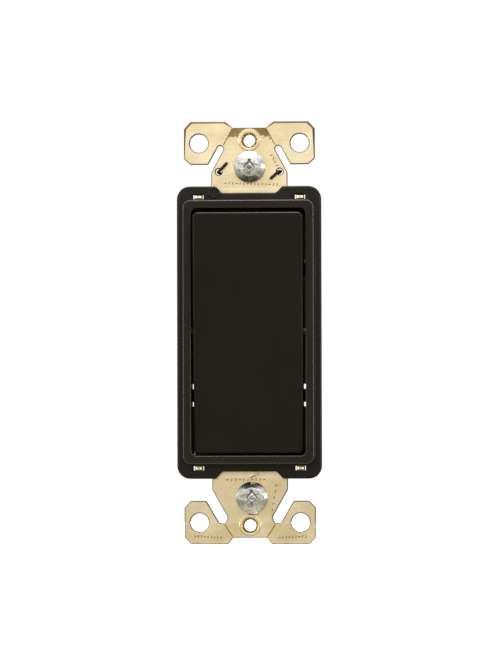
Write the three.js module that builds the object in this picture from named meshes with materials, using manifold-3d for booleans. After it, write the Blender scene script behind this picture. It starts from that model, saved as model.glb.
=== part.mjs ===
// Decorator rocker wall switch, single pole, on a steel mounting strap.
// Units are millimetres: +X is right, +Z is up and -Y is the front, which faces the room.
// The origin is the centre of the strap's rear face, and y = 0 is the wall plane.

import * as THREE from 'three';
import { mergeVertices } from 'three/addons/utils/BufferGeometryUtils.js';
import Module from 'manifold-3d';

const wasm = await Module();
wasm.setup();

// ---------------------------------------------------------------- driving dimensions

const DEG = Math.PI / 180;
const SEAT_GAP = 0.15;
const RUNNING_GAP = 0.3;

const STRAP = {
  thickness: 1.27,
  railHalf: 17.0,
  shoulderZ: 36.2,
  windowHalfX: 15.2,
  windowHalfZ: 31.85,
  plateScrewZ: 48.42,
  plateScrewRadius: 1.48,
  boxScrewZ: 41.67,
  earHoleX: 12.7,
  earHoleZ: 47.7,
  earHoleRadius: 2.325,
  clipHoleX: 7.7,
  clipHoleZ: 40.5,
  clipHoleRadius: 0.8,
};
const STRAP_FRONT = -STRAP.thickness;
const BOX_SLOT = { halfX: 3.3, halfZ: 2.0, radius: 1.9, notchX: 1.9, notchZ: 45.5 };
const COLLAR = {
  height: 0.3,
  holeRadius: 2.5,
  ringRadius: 2.8,
  dishRadius: 2.2,
  bossRadius: 2.3,
  rearY: 1.2,
};
const LUG = { halfX: 1.0, halfZ: 0.45, rootHalfZ: 0.75, frontY: -2.6, slitEnd: 1.55, slitHalfZ: 0.6 };
const TONGUE = { x: 1.1, z: -35.1, length: 2.5, thickness: 0.34, frontY: -3.95, turn: -22 * DEG };
const SCORE = { width: 0.3, depth: 0.35 };

const FRAME = {
  flangeHalfX: 18.15,
  flangeHalfZ: 36.75,
  flangeFrontY: -3.4,
  rearY: STRAP_FRONT - SEAT_GAP,
  insertHalfX: 16.5,
  insertHalfZ: 33.1,
  insertFrontY: -7.4,
  openingHalfX: 14.4,
  openingHalfZ: 31.05,
  sleeveWall: 0.6,
  sleeveRearY: -0.1,
  edge: 0.4,
  windowX: 12.8,
  windowZ: 34.1,
  windowHalfX: 1.6,
  windowHalfZ: 0.8,
};
const LEDGE = { inner: 13.2, frontY: -0.8, halfZ: 29 };
const SCOOP = { floorHalf: 6.5, mouthHalf: 8.8, topDepth: 1.65, bottomDepth: 1.8 };
const BLANK_BOSS = { x: -8.8, z: 35.1, radius: 1.5, height: 0.4 };

const LEG = {
  z: 15.75,
  halfZ: 1.6,
  inner: 13.4,
  outer: 14.9,
  rearY: 8.6,
  slit: 1.2,
  hookX: 12.35,
  hookY: 7.2,
  ribInner: 11.9,
  ribOuter: 12.9,
  ribYs: [4.0, 6.9],
};

const ROCKER = {
  pivotY: -4.0,
  tilt: 5 * DEG,
  halfX: 13.75,
  halfZ: 30.25,
  face: -4.2,
  rear: 0.2,
  wall: 1.5,
  pinRadius: 1.1,
  pinEnd: 15.1,
  stemHalf: 3.0,
  stemEnd: 9.5,
  boreRadius: 1.85,
  boreStart: 1.0,
};

const PLUNGER = { radius: 1.5, tip: 17.3, shoulder: 6.5, spigotRadius: 0.7, spigotStart: 4.5 };

const HOUSING = {
  halfX: 16.4,
  halfZ: 33.2,
  frontY: RUNNING_GAP,
  rearY: 23.0,
  wall: 2.4,
  floor: 2.0,
  bayWall: 1.6,
};
const HOUSING_FLOOR_Y = HOUSING.rearY - HOUSING.floor;
const WIRE_HOLE = { x: 12.6, z: 1, radius: 1.4 };
const RELEASE_SLOT = { inner: 9.6, outer: 10.9, low: -0.5, high: 2.5 };

const TERMINAL = {
  plateInner: 13.6,
  plateOuter: 14.6,
  frontY: 2.5,
  rearY: 20.0,
  armFrontY: 17.6,
  armRearY: 18.4,
  screwY: 8.0,
  commonZ: 21.6,
  switchedZ: 0,
  halfZ: 4.0,
  holeRadius: 1.85,
};

const ARM = {
  pivotY: 14.3,
  tilt: -6 * DEG,
  thickness: 0.8,
  halfX: 2.5,
  low: -12.5,
  high: 9,
  lip: 0.9,
  lipWall: 0.6,
  cheekHalfZ: 4,
};
const CONTACT = { z: -10.5, radius: 1.5, height: 0.75 };
const FULCRUM_TIP_Y = ARM.pivotY + RUNNING_GAP;

const BOX_SCREW = { headRadius: 3.95, headHeight: 1.95, shankRadius: 1.65, length: 25.4, slotHalf: 3.15 };
const WIRE_SCREW = { headRadius: 3.6, headHeight: 2.0, shankRadius: 1.55, length: 5.6, slotHalf: 2.9 };
const SCREW_RIM = 1.45;
const CROWN_ANGLE = 5 * DEG;
const RECESS = { slotDepth: 0.6, slotHalfWidth: 0.58, diamondHalf: 1.7, diamondDepth: 1.1 };
const GROUND = {
  z: -28.2,
  y: 6.2,
  halfZ: 4.25,
  tabInner: -13.8,
  tabOuter: -15.1,
  bendRearY: 1.4,
  rearY: 10.5,
  holeRadius: 1.9,
};
const HEX_SCREW = {
  washerRadius: 3.75,
  washerHeight: 0.7,
  hexRadius: 3.1,
  headHeight: 1.9,
  shankRadius: 1.55,
  length: 4.0,
};
const RETAINER = { halfX: 4.2, halfZ: 3.6, corner: 0.8, thickness: 0.8, holeRadius: 1.95 };
const CLIP_RADIUS = 0.35;

// ---------------------------------------------------------------- materials

function material(colour, roughness, metalness) {
  return new THREE.MeshStandardMaterial({ color: colour, roughness, metalness });
}

const PAINT = {
  strap: material(0xe2cb98, 0.3, 1),
  frame: material(0x26231f, 0.45, 0),
  rocker: material(0x23201c, 0.35, 0),
  housing: material(0x1c1b1a, 0.6, 0),
  zinc: material(0xb9bbbd, 0.32, 1),
  brass: material(0xc9a04e, 0.35, 1),
  silver: material(0xd9d9d6, 0.25, 1),
  spring: material(0x8e9196, 0.35, 1),
  clip: material(0x3a2a1c, 0.5, 1),
  green: material(0x2f7d46, 0.4, 1),
  acetal: material(0xe8e4d8, 0.5, 0),
  fibre: material(0x6b6f73, 0.8, 0),
};

// ---------------------------------------------------------------- solids

function toSolid(geometry) {
  const plain = geometry.index ? geometry.toNonIndexed() : geometry.clone();
  plain.deleteAttribute('normal');
  plain.deleteAttribute('uv');
  const merged = mergeVertices(plain, 1e-4);
  const triangles = new Uint32Array(merged.index.array);
  if (signedVolume(merged.attributes.position, triangles) < 0) {
    triangles.reverse();
  }
  return new wasm.Manifold(new wasm.Mesh({
    numProp: 3,
    vertProperties: new Float32Array(merged.attributes.position.array),
    triVerts: triangles,
  }));
}

function signedVolume(positions, triangles) {
  const [a, b, c] = [new THREE.Vector3(), new THREE.Vector3(), new THREE.Vector3()];
  let sum = 0;
  for (let i = 0; i < triangles.length; i += 3) {
    a.fromBufferAttribute(positions, triangles[i]);
    b.fromBufferAttribute(positions, triangles[i + 1]);
    c.fromBufferAttribute(positions, triangles[i + 2]);
    sum += a.dot(b.cross(c)) / 6;
  }
  return sum;
}

function toGeometry(solid) {
  const mesh = solid.getMesh();
  const geometry = new THREE.BufferGeometry();
  geometry.setAttribute('position', new THREE.BufferAttribute(mesh.vertProperties, 3));
  geometry.setIndex(new THREE.BufferAttribute(mesh.triVerts, 1));
  geometry.computeVertexNormals();
  return geometry;
}

function join(first, ...others) {
  return others.reduce((whole, piece) => whole.add(piece), first);
}

function cut(body, ...tools) {
  return tools.reduce((rest, tool) => rest.subtract(tool), body);
}

// A box between two values on each axis, given in any order.
function block(xs, ys, zs) {
  const low = [Math.min(...xs), Math.min(...ys), Math.min(...zs)];
  const high = [Math.max(...xs), Math.max(...ys), Math.max(...zs)];
  const geometry = new THREE.BoxGeometry(high[0] - low[0], high[1] - low[1], high[2] - low[2]);
  geometry.translate((low[0] + high[0]) / 2, (low[1] + high[1]) / 2, (low[2] + high[2]) / 2);
  return toSolid(geometry);
}

// A shape drawn in X and Z, extruded from frontY to rearY, with its edges bevelled by edge.
function plate(shape, frontY, rearY, edge = 0) {
  const geometry = new THREE.ExtrudeGeometry(shape, {
    depth: rearY - frontY - 2 * edge,
    curveSegments: 6,
    bevelEnabled: edge > 0,
    bevelThickness: edge,
    bevelSize: edge,
    bevelOffset: -edge,
    bevelSegments: 2,
  });
  geometry.translate(0, 0, edge);
  geometry.rotateX(Math.PI / 2);
  geometry.translate(0, rearY, 0);
  return toSolid(geometry);
}

// A profile of [y, z] points, extruded along X.
function prismX(points, x0, x1) {
  const shape = new THREE.Shape(points.map(([y, z]) => new THREE.Vector2(z, y)));
  const geometry = new THREE.ExtrudeGeometry(shape, { depth: x1 - x0, bevelEnabled: false });
  geometry.applyMatrix4(new THREE.Matrix4().set(0, 0, 1, x0, 0, 1, 0, 0, 1, 0, 0, 0, 0, 0, 0, 1));
  return toSolid(geometry);
}

// A profile of [x, y] points, extruded along Z.
function prismZ(points, z0, z1) {
  const shape = new THREE.Shape(points.map(([x, y]) => new THREE.Vector2(x, y)));
  const geometry = new THREE.ExtrudeGeometry(shape, { depth: z1 - z0, bevelEnabled: false });
  geometry.translate(0, 0, z0);
  return toSolid(geometry);
}

// A cylinder along X or Y through a centre point.
function rod(axis, centre, radius, length, segments = 24) {
  const geometry = new THREE.CylinderGeometry(radius, radius, length, segments);
  if (axis === 'x') {
    geometry.rotateZ(Math.PI / 2);
  }
  geometry.translate(...centre);
  return toSolid(geometry);
}

// A profile of [radius, y] points, turned about a line along Y.
function turned(profile, centre = [0, 0, 0], segments = 24) {
  const points = profile.map(([radius, y]) => new THREE.Vector2(radius, y));
  const geometry = new THREE.LatheGeometry(points, segments);
  geometry.translate(...centre);
  return toSolid(geometry);
}

// A round wire along a curve.
function wire(curve, radius, steps, sides) {
  const section = new THREE.Shape();
  section.absarc(0, 0, radius, 0, 2 * Math.PI, false);
  return toSolid(new THREE.ExtrudeGeometry(section, {
    steps,
    curveSegments: sides / 2,
    extrudePath: curve,
    bevelEnabled: false,
  }));
}

function roundedRectangle(halfX, halfZ, radius, centreX = 0, centreZ = 0) {
  const shape = new THREE.Shape();
  const corners = [[1, 1], [-1, 1], [-1, -1], [1, -1]];
  corners.forEach(([sideX, sideZ], index) => {
    const x = centreX + sideX * (halfX - radius);
    const z = centreZ + sideZ * (halfZ - radius);
    shape.absarc(x, z, radius, index * Math.PI / 2, (index + 1) * Math.PI / 2, false);
  });
  shape.closePath();
  return shape;
}

// ---------------------------------------------------------------- strap

// One half of the strap's outline, from the top centre down the +X side to the bottom centre.
function halfStrapOutline() {
  const path = new THREE.Path();
  const [topSlot, bottomSlot] = [
    { x: 7.3, z: 46.3, radius: 0.78, start: 28 * DEG },
    { x: 7.0, z: -46.6, radius: 1.3, start: 150 * DEG },
  ];
  path.moveTo(0, 51.6);
  path.lineTo(4.2, 51.6);
  path.lineTo(6.1, 53.2);
  path.lineTo(14.8, 53.2);
  path.lineTo(16.5, 51.4);
  path.lineTo(16.5, 43.8);
  path.lineTo(14.85, 42.35);
  path.lineTo(10.4, 42.35);
  path.absarc(topSlot.x, topSlot.z, topSlot.radius, topSlot.start, topSlot.start + Math.PI, false);
  path.lineTo(9.6, 40.3);
  path.lineTo(9.6, STRAP.shoulderZ);
  path.lineTo(STRAP.railHalf, STRAP.shoulderZ);
  path.lineTo(STRAP.railHalf, -STRAP.shoulderZ);
  path.lineTo(9.5, -STRAP.shoulderZ);
  path.lineTo(9.5, -39.5);
  path.absarc(
    bottomSlot.x, bottomSlot.z, bottomSlot.radius, bottomSlot.start, bottomSlot.start + Math.PI, false,
  );
  path.lineTo(11.0, -42.3);
  path.lineTo(14.9, -42.3);
  path.lineTo(16.5, -44.0);
  path.lineTo(16.5, -51.6);
  path.lineTo(14.9, -53.2);
  path.lineTo(5.5, -53.2);
  path.lineTo(4.2, -51.6);
  path.lineTo(0, -51.6);
  return path.getPoints(8);
}

// A shallow groove across the strap's front, where an ear breaks off.
function scoreLine(x0, z0, x1, z1) {
  const { width, depth } = SCORE;
  const length = Math.hypot(x1 - x0, z1 - z0);
  const geometry = new THREE.BoxGeometry(length, 2 * depth, width);
  geometry.rotateY(-Math.atan2(z1 - z0, x1 - x0));
  geometry.translate((x0 + x1) / 2, STRAP_FRONT, (z0 + z1) / 2);
  return toSolid(geometry);
}

// The dished collar round a wall-plate screw hole, drawn through to a threaded boss behind.
function plateScrewCollar(z) {
  const hole = STRAP.plateScrewRadius;
  const { height, holeRadius, ringRadius, dishRadius, bossRadius, rearY } = COLLAR;
  return turned([
    [hole, STRAP_FRONT + 0.5],
    [dishRadius, STRAP_FRONT - height],
    [ringRadius - 0.25, STRAP_FRONT - height],
    [ringRadius, STRAP_FRONT + 0.1],
    [ringRadius, -0.3],
    [holeRadius, -0.1],
    [bossRadius, rearY],
    [hole, rearY],
    [hole, STRAP_FRONT + 0.5],
  ], [0, 0, z]);
}

// A small bridge lanced from the strap into a corner window of the frame, with a slit at each end.
function windowLug(x, z) {
  const { halfX, halfZ, rootHalfZ, frontY } = LUG;
  return join(
    block([x - halfX, x + halfX], [frontY, -0.1], [z - halfZ, z + halfZ]),
    block([x - halfX, x + halfX], [STRAP_FRONT, -0.1], [z - rootHalfZ, z + rootHalfZ]),
  );
}

// The tab bent back from the left rail, which carries the ground screw.
function groundTab() {
  const { z, y, halfZ, tabInner, tabOuter, bendRearY, rearY, holeRadius } = GROUND;
  const zs = [z - halfZ, z + halfZ];
  const railX = -STRAP.railHalf + 0.1;
  const tab = join(
    block([railX, tabOuter - 0.2], [STRAP_FRONT / 2, bendRearY], zs),
    block([railX, tabInner], [0.1, bendRearY], zs),
    block([tabOuter, tabInner], [0.1, rearY], zs),
  );
  return cut(tab, rod('x', [tabInner, y, z], holeRadius, 6));
}

// A tongue lanced from the strap and clinched over the frame's lower edge.
function frameTongue() {
  const { x, z, length, thickness, frontY, turn } = TONGUE;
  const overY = FRAME.flangeFrontY - SEAT_GAP;
  const geometry = new THREE.BoxGeometry(length, overY - frontY, thickness);
  geometry.rotateY(turn);
  geometry.translate(x, (frontY + overY) / 2, z);
  const root = block([0, 0.7], [frontY, STRAP_FRONT / 2], [z - 0.1 - thickness, z - 0.1]);
  return join(toSolid(geometry), root);
}

function makeStrap() {
  const half = halfStrapOutline();
  const otherHalf = half.slice(1, -1).reverse().map((point) => new THREE.Vector2(-point.x, point.y));
  let strap = plate(new THREE.Shape([...half, ...otherHalf]), STRAP_FRONT, 0);
  const centreWindow = roundedRectangle(STRAP.windowHalfX, STRAP.windowHalfZ, 1.2);
  strap = cut(strap, plate(centreWindow, -5, 5));
  const midY = STRAP_FRONT / 2;
  for (const end of [1, -1]) {
    const { halfX, halfZ, radius } = BOX_SLOT;
    strap = cut(
      strap,
      rod('y', [0, midY, end * STRAP.plateScrewZ], COLLAR.holeRadius, 4),
      plate(roundedRectangle(halfX, halfZ, radius, 0, end * STRAP.boxScrewZ), -5, 5),
    );
    strap = strap.add(plateScrewCollar(end * STRAP.plateScrewZ));
    for (const side of [1, -1]) {
      const [lugX, lugZ] = [side * FRAME.windowX, end * FRAME.windowZ];
      strap = cut(
        strap,
        rod('y', [side * STRAP.earHoleX, midY, end * STRAP.earHoleZ], STRAP.earHoleRadius, 4, 32),
        block(
          [lugX - LUG.slitEnd, lugX + LUG.slitEnd],
          [-5, 5],
          [lugZ - LUG.slitHalfZ, lugZ + LUG.slitHalfZ],
        ),
      );
      strap = strap.add(windowLug(lugX, lugZ));
    }
  }
  for (const side of [1, -1]) {
    strap = cut(
      strap,
      rod('y', [side * STRAP.clipHoleX, midY, STRAP.clipHoleZ], STRAP.clipHoleRadius, 4, 16),
      scoreLine(side * 4.25, 51.7, side * 6.5, 47.3),
      scoreLine(side * 4.3, -51.6, side * 6.4, -48.0),
    );
  }
  const notchTopZ = -STRAP.boxScrewZ - BOX_SLOT.halfZ + 0.5;
  const lowerSlotNotch = block([0, BOX_SLOT.notchX], [-5, 5], [-BOX_SLOT.notchZ, notchTopZ]);
  return join(cut(strap, lowerSlotNotch), groundTab(), frameTongue());
}

// ---------------------------------------------------------------- frame

// The scoop in the flange's edge that clears a box screw's head.
function screwScoop(end, depth) {
  const { floorHalf, mouthHalf } = SCOOP;
  const edgeZ = end * FRAME.flangeHalfZ;
  const floorZ = end * (FRAME.flangeHalfZ - depth);
  const beyondZ = edgeZ + end;
  const shape = new THREE.Shape();
  shape.moveTo(-mouthHalf, beyondZ);
  shape.lineTo(-mouthHalf, edgeZ);
  shape.bezierCurveTo(-mouthHalf + 0.9, edgeZ, -floorHalf - 0.9, floorZ, -floorHalf, floorZ);
  shape.lineTo(floorHalf, floorZ);
  shape.bezierCurveTo(floorHalf + 0.9, floorZ, mouthHalf - 0.9, edgeZ, mouthHalf, edgeZ);
  shape.lineTo(mouthHalf, beyondZ);
  shape.closePath();
  return plate(shape, -6, 1);
}

// A leg that passes through the strap and hooks onto a rib of the housing.
function snapLeg(side, end) {
  const zs = [end * LEG.z - LEG.halfZ, end * LEG.z + LEG.halfZ];
  return join(
    block([side * LEG.inner, side * LEG.outer], [LEDGE.frontY, LEG.rearY], zs),
    block([side * LEG.hookX, side * (LEG.inner + 0.1)], [LEG.hookY, LEG.rearY], zs),
  );
}

function makeFrame() {
  const { flangeHalfX, flangeHalfZ, insertHalfX, insertHalfZ, openingHalfX, openingHalfZ } = FRAME;
  const sleeveX = openingHalfX + FRAME.sleeveWall;
  const sleeveZ = openingHalfZ + FRAME.sleeveWall;
  const { edge, rearY } = FRAME;
  let frame = join(
    plate(roundedRectangle(flangeHalfX, flangeHalfZ, 3.3), FRAME.flangeFrontY, rearY, edge),
    plate(roundedRectangle(insertHalfX, insertHalfZ, 1.9), FRAME.insertFrontY, rearY, edge),
    plate(roundedRectangle(sleeveX, sleeveZ, 1.2), -3, FRAME.sleeveRearY),
  );
  frame = cut(frame, plate(roundedRectangle(openingHalfX, openingHalfZ, 1.4), -9, 3));
  for (const side of [1, -1]) {
    frame = join(
      frame,
      innerLedge(side),
      snapLeg(side, 1),
      snapLeg(side, -1),
    );
    frame = cut(frame, journalSlot(side));
    for (const end of [1, -1]) {
      for (const edgeSide of [1, -1]) {
        const nearZ = end * LEG.z + edgeSide * LEG.halfZ;
        const xs = [side * (LEDGE.inner - 0.2), side * (openingHalfX - 0.1)];
        frame = cut(frame, block(xs, [LEDGE.frontY - 0.3, 1], [nearZ, nearZ + edgeSide * LEG.slit]));
      }
      const { windowHalfX, windowHalfZ } = FRAME;
      const windowX = side * FRAME.windowX;
      const windowZ = end * FRAME.windowZ;
      frame = cut(frame, block(
        [windowX - windowHalfX, windowX + windowHalfX],
        [-6, 1],
        [windowZ - windowHalfZ, windowZ + windowHalfZ],
      ));
    }
  }
  const { x, z, radius, height } = BLANK_BOSS;
  frame = join(frame, rod('y', [x, FRAME.flangeFrontY, z], radius, 2 * height, 20));
  return cut(frame, screwScoop(1, SCOOP.topDepth), screwScoop(-1, SCOOP.bottomDepth));
}

// The ledge along the inside of the sleeve, which the snap legs stand on.
function innerLedge(side) {
  const xs = [side * LEDGE.inner, side * (FRAME.openingHalfX + 0.1)];
  return block(xs, [LEDGE.frontY, FRAME.sleeveRearY], [-LEDGE.halfZ, LEDGE.halfZ]);
}

// The slot, open to the rear, that a pivot pin of the paddle sits in.
function journalSlot(side) {
  const radius = ROCKER.pinRadius + RUNNING_GAP;
  const xs = [side * (FRAME.openingHalfX - 0.2), side * (ROCKER.pinEnd + RUNNING_GAP)];
  const middleX = (xs[0] + xs[1]) / 2;
  return join(
    rod('x', [middleX, ROCKER.pivotY, 0], radius, Math.abs(xs[1] - xs[0])),
    block(xs, [ROCKER.pivotY, -0.9], [-radius, radius]),
  );
}

// ---------------------------------------------------------------- paddle and actuator

// The paddle is drawn untilted, with its pivot at the origin.
function makePaddle() {
  const { halfX, halfZ, face, rear, wall, stemHalf } = ROCKER;
  const shell = plate(roundedRectangle(halfX, halfZ, 1.2), face, rear + 0.5, 0.5);
  const hollow = plate(roundedRectangle(halfX - wall, halfZ - wall, 0.6), face + wall + 0.3, 2);
  let paddle = cut(shell, block([-20, 20], [rear, 2], [-40, 40]), hollow);
  const ribFront = face + wall;
  for (const end of [1, -1]) {
    paddle = join(
      paddle,
      block([-halfX + 1, halfX - 1], [ribFront, rear - 0.6], [end * 14.4, end * 15.4]),
      block([-0.6, 0.6], [ribFront, rear - 0.6], [end * 2, end * (halfZ - 1)]),
    );
  }
  for (const side of [1, -1]) {
    const pinMiddle = side * (ROCKER.pinEnd + halfX - 1) / 2;
    paddle = join(
      paddle,
      block([side * (halfX - wall - 0.8), side * (halfX - 0.05)], [ribFront, 1.4], [-3.5, 3.5]),
      rod('x', [pinMiddle, 0, 0], ROCKER.pinRadius, ROCKER.pinEnd - halfX + 1),
    );
  }
  const stem = block([-stemHalf, stemHalf], [ribFront, ROCKER.stemEnd], [-stemHalf, stemHalf]);
  const boreMiddle = (ROCKER.boreStart + ROCKER.stemEnd + 1) / 2;
  const boreLength = ROCKER.stemEnd + 1 - ROCKER.boreStart;
  return cut(join(paddle, stem), rod('y', [0, boreMiddle, 0], ROCKER.boreRadius, boreLength));
}

function makePlunger() {
  const { radius, tip, shoulder, spigotRadius, spigotStart } = PLUNGER;
  const profile = [
    [0, spigotStart],
    [spigotRadius, spigotStart],
    [spigotRadius, shoulder],
    [radius, shoulder],
  ];
  const domeSteps = 5;
  for (let step = 0; step <= domeSteps; step += 1) {
    const angle = step / domeSteps * Math.PI / 2;
    profile.push([radius * Math.cos(angle), tip - radius + radius * Math.sin(angle)]);
  }
  profile[profile.length - 1][0] = 0;
  return turned(profile, [0, 0, 0], 20);
}

class Helix extends THREE.Curve {
  constructor(radius, startY, endY, turns) {
    super();
    Object.assign(this, { radius, startY, endY, turns });
  }

  getPoint(t, target = new THREE.Vector3()) {
    const angle = 2 * Math.PI * this.turns * t;
    const y = this.startY + (this.endY - this.startY) * t;
    return target.set(this.radius * Math.cos(angle), y, this.radius * Math.sin(angle));
  }
}

function makePlungerSpring() {
  const wireRadius = 0.22;
  const startY = ROCKER.boreStart + wireRadius + SEAT_GAP;
  const endY = PLUNGER.shoulder - wireRadius - SEAT_GAP;
  return wire(new Helix(1.25, startY, endY, 6), wireRadius, 72, 6);
}

// ---------------------------------------------------------------- contacts and terminals

// The see-saw arm is drawn untilted, with its fulcrum at the origin. Its lips face the plunger.
function makeContactArm() {
  const { halfX, thickness, low, high, lip, lipWall, cheekHalfZ } = ARM;
  const lipYs = [-thickness - lip, 0];
  return join(
    block([-halfX, halfX], [-thickness, 0], [low, high]),
    block([-halfX, halfX], lipYs, [high - lipWall, high]),
    block([-halfX, -halfX + lipWall], lipYs, [-cheekHalfZ, cheekHalfZ]),
    block([halfX - lipWall, halfX], lipYs, [-cheekHalfZ, cheekHalfZ]),
  );
}

function contactButton(frontY) {
  return rod('y', [0, frontY + CONTACT.height / 2, CONTACT.z], CONTACT.radius, CONTACT.height, 20);
}

// The upright side plate of a terminal, with its screw hole.
function terminalPlate(z) {
  const { plateInner, plateOuter, frontY, rearY, screwY, halfZ, holeRadius } = TERMINAL;
  const side = block([plateInner, plateOuter], [frontY, rearY], [z - halfZ, z + halfZ]);
  return cut(side, rod('x', [plateInner, screwY, z], holeRadius, 6));
}

function flatArm(points) {
  const shape = new THREE.Shape(points.map(([x, z]) => new THREE.Vector2(x, z)));
  return plate(shape, TERMINAL.armFrontY, TERMINAL.armRearY);
}

function makeCommonTerminal() {
  const { plateOuter, commonZ, halfZ } = TERMINAL;
  const lowZ = commonZ - halfZ;
  const arm = flatArm([
    [plateOuter, lowZ], [plateOuter, lowZ + 2], [-3, lowZ + 2], [-3, -1.5], [3, -1.5], [3, lowZ],
  ]);
  const fulcrum = prismX([
    [TERMINAL.armRearY, -1.3], [FULCRUM_TIP_Y, -0.15], [FULCRUM_TIP_Y, 0.15], [TERMINAL.armRearY, 1.3],
  ], -2.3, 2.3);
  return join(terminalPlate(commonZ), arm, fulcrum);
}

function makeSwitchedTerminal() {
  const { plateOuter, switchedZ, halfZ } = TERMINAL;
  const lowZ = switchedZ - halfZ;
  const arm = flatArm([
    [plateOuter, lowZ], [plateOuter, lowZ + 1.8], [5, lowZ + 1.8], [5, -8], [-3, -8], [-3, -13],
    [9, -13], [9, lowZ],
  ]);
  return join(terminalPlate(switchedZ), arm);
}

// The bent strip that grips a straight wire pushed in from behind.
function makePushInSpring(z) {
  const [strip, footX, bendY, rearY] = [0.4, 9.9, 15.0, HOUSING_FLOOR_Y - 0.3];
  return prismZ([
    [footX, rearY], [footX, bendY], [footX + 0.5, bendY], [13.3, 18.3], [13.0, 18.6],
    [footX + strip, bendY + 0.7], [footX + strip, rearY],
  ], z - 1.5, z + 3.5);
}

// ---------------------------------------------------------------- housing

const BAYS = [
  { side: 1, inner: 12.0, low: -19.5, high: -10.5, rearY: HOUSING.rearY + 1 },
  { side: -1, inner: 12.0, low: -19.5, high: -10.5, rearY: HOUSING.rearY + 1 },
  { side: 1, inner: 12.0, low: 10.5, high: 17.5, rearY: 12.0 },
  { side: -1, inner: 12.0, low: 10.5, high: 19.5, rearY: 12.0 },
  { side: 1, inner: 13.2, low: 16.9, high: 27.5, rearY: 13.3 },
  { side: 1, inner: 13.2, low: -5.5, high: 5.5, rearY: 13.3 },
  { side: -1, inner: 10.6, low: -33.5, high: -23.0, rearY: 12.5 },
];

// The room a side bay takes, grown by a wall on every side but the outer one.
function bayRoom(bay, growth) {
  const xs = [bay.side * (bay.inner - growth), bay.side * (HOUSING.halfX + 1)];
  return block(xs, [-1, bay.rearY + growth], [bay.low - growth, bay.high + growth]);
}

function makeHousing() {
  const { halfX, halfZ, frontY, rearY, wall } = HOUSING;
  let cavity = plate(roundedRectangle(halfX - wall, halfZ - wall, 1), frontY - 1, HOUSING_FLOOR_Y);
  let housing = plate(roundedRectangle(halfX, halfZ, 2), frontY - 1, rearY, 0.8);
  housing = cut(housing, block([-20, 20], [-2, frontY], [-40, 40]));
  for (const bay of BAYS) {
    cavity = cut(cavity, bayRoom(bay, HOUSING.bayWall));
    housing = cut(housing, bayRoom(bay, 0));
  }
  housing = cut(housing, cavity);
  for (const z of [TERMINAL.commonZ, TERMINAL.switchedZ]) {
    const slotZ = [z - TERMINAL.halfZ - SEAT_GAP, z + TERMINAL.halfZ + SEAT_GAP];
    housing = cut(
      housing,
      block(
        [TERMINAL.plateInner - 0.2, TERMINAL.plateOuter + 0.2],
        [12.5, TERMINAL.rearY + 0.5],
        slotZ,
      ),
      block([RELEASE_SLOT.inner, 14.0], [14.7, HOUSING_FLOOR_Y], slotZ),
      rod('x', [12.4, TERMINAL.screwY, z], WIRE_SCREW.shankRadius + 0.45, 4),
      rod('y', [WIRE_HOLE.x, rearY, z + WIRE_HOLE.z], WIRE_HOLE.radius, 8, 20),
      block(
        [RELEASE_SLOT.inner, RELEASE_SLOT.outer],
        [rearY - 5, rearY + 1],
        [z + RELEASE_SLOT.low, z + RELEASE_SLOT.high],
      ),
    );
  }
  const plinthY = [TERMINAL.armRearY + SEAT_GAP, HOUSING_FLOOR_Y + 0.1];
  housing = join(
    housing,
    block([-4, 4], plinthY, [2, 17]),
    block([-4, 8], plinthY, [-14, -7]),
  );
  for (const side of [1, -1]) {
    for (const end of [1, -1]) {
      const zs = [end * LEG.z - LEG.halfZ, end * LEG.z + LEG.halfZ];
      const clearZ = side > 0 && end > 0 ? [zs[0], 16.8] : zs;
      housing = housing.add(block([side * LEG.ribInner, side * LEG.ribOuter], LEG.ribYs, clearZ));
    }
  }
  return housing;
}

// ---------------------------------------------------------------- fasteners and clip

// The recess of a combination head: a straight slot across a diamond socket.
function combinationRecess({ headHeight, slotHalf }) {
  const { slotDepth, slotHalfWidth, diamondHalf, diamondDepth } = RECESS;
  const above = 1;
  const depth = diamondDepth + above;
  const diamond = new THREE.CylinderGeometry(diamondHalf * 1.3, diamondHalf * 0.6, depth, 4);
  diamond.rotateX(Math.PI);
  diamond.translate(0, -headHeight + diamondDepth - depth / 2, 0);
  const slotYs = [-headHeight - above, -headHeight + slotDepth];
  const slot = block([-slotHalf, slotHalf], slotYs, [-slotHalfWidth, slotHalfWidth]);
  return join(toSolid(diamond), slot);
}

// A shallow crown that runs smoothly into a rounded rim, as [radius, y] points.
function headProfile({ headRadius, headHeight }) {
  const startAngle = CROWN_ANGLE;
  const crownRadius = headRadius - SCREW_RIM * (1 - Math.sin(startAngle));
  const crownDrop = crownRadius * Math.tan(startAngle) / 2;
  const profile = [[0, -headHeight], [crownRadius / 2, -headHeight + crownDrop / 4]];
  const rimSteps = 4;
  for (let step = 0; step <= rimSteps; step += 1) {
    const angle = startAngle + (Math.PI / 2 - startAngle) * step / rimSteps;
    const outwards = SCREW_RIM * (Math.sin(angle) - Math.sin(startAngle));
    const down = SCREW_RIM * (Math.cos(startAngle) - Math.cos(angle));
    profile.push([crownRadius + outwards, -headHeight + crownDrop + down]);
  }
  return profile;
}

// A screw with its head towards -Y and the underside of the head at the origin.
function makeScrew(screw) {
  const { headRadius, shankRadius, length } = screw;
  const point = { length: 0.8, radius: shankRadius - 0.6 };
  const profile = [
    ...headProfile(screw),
    [headRadius, 0],
    [shankRadius, 0],
    [shankRadius, length - point.length],
    [point.radius, length],
    [0, length],
  ];
  return cut(turned(profile, [0, 0, 0], 32), combinationRecess(screw));
}

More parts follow.
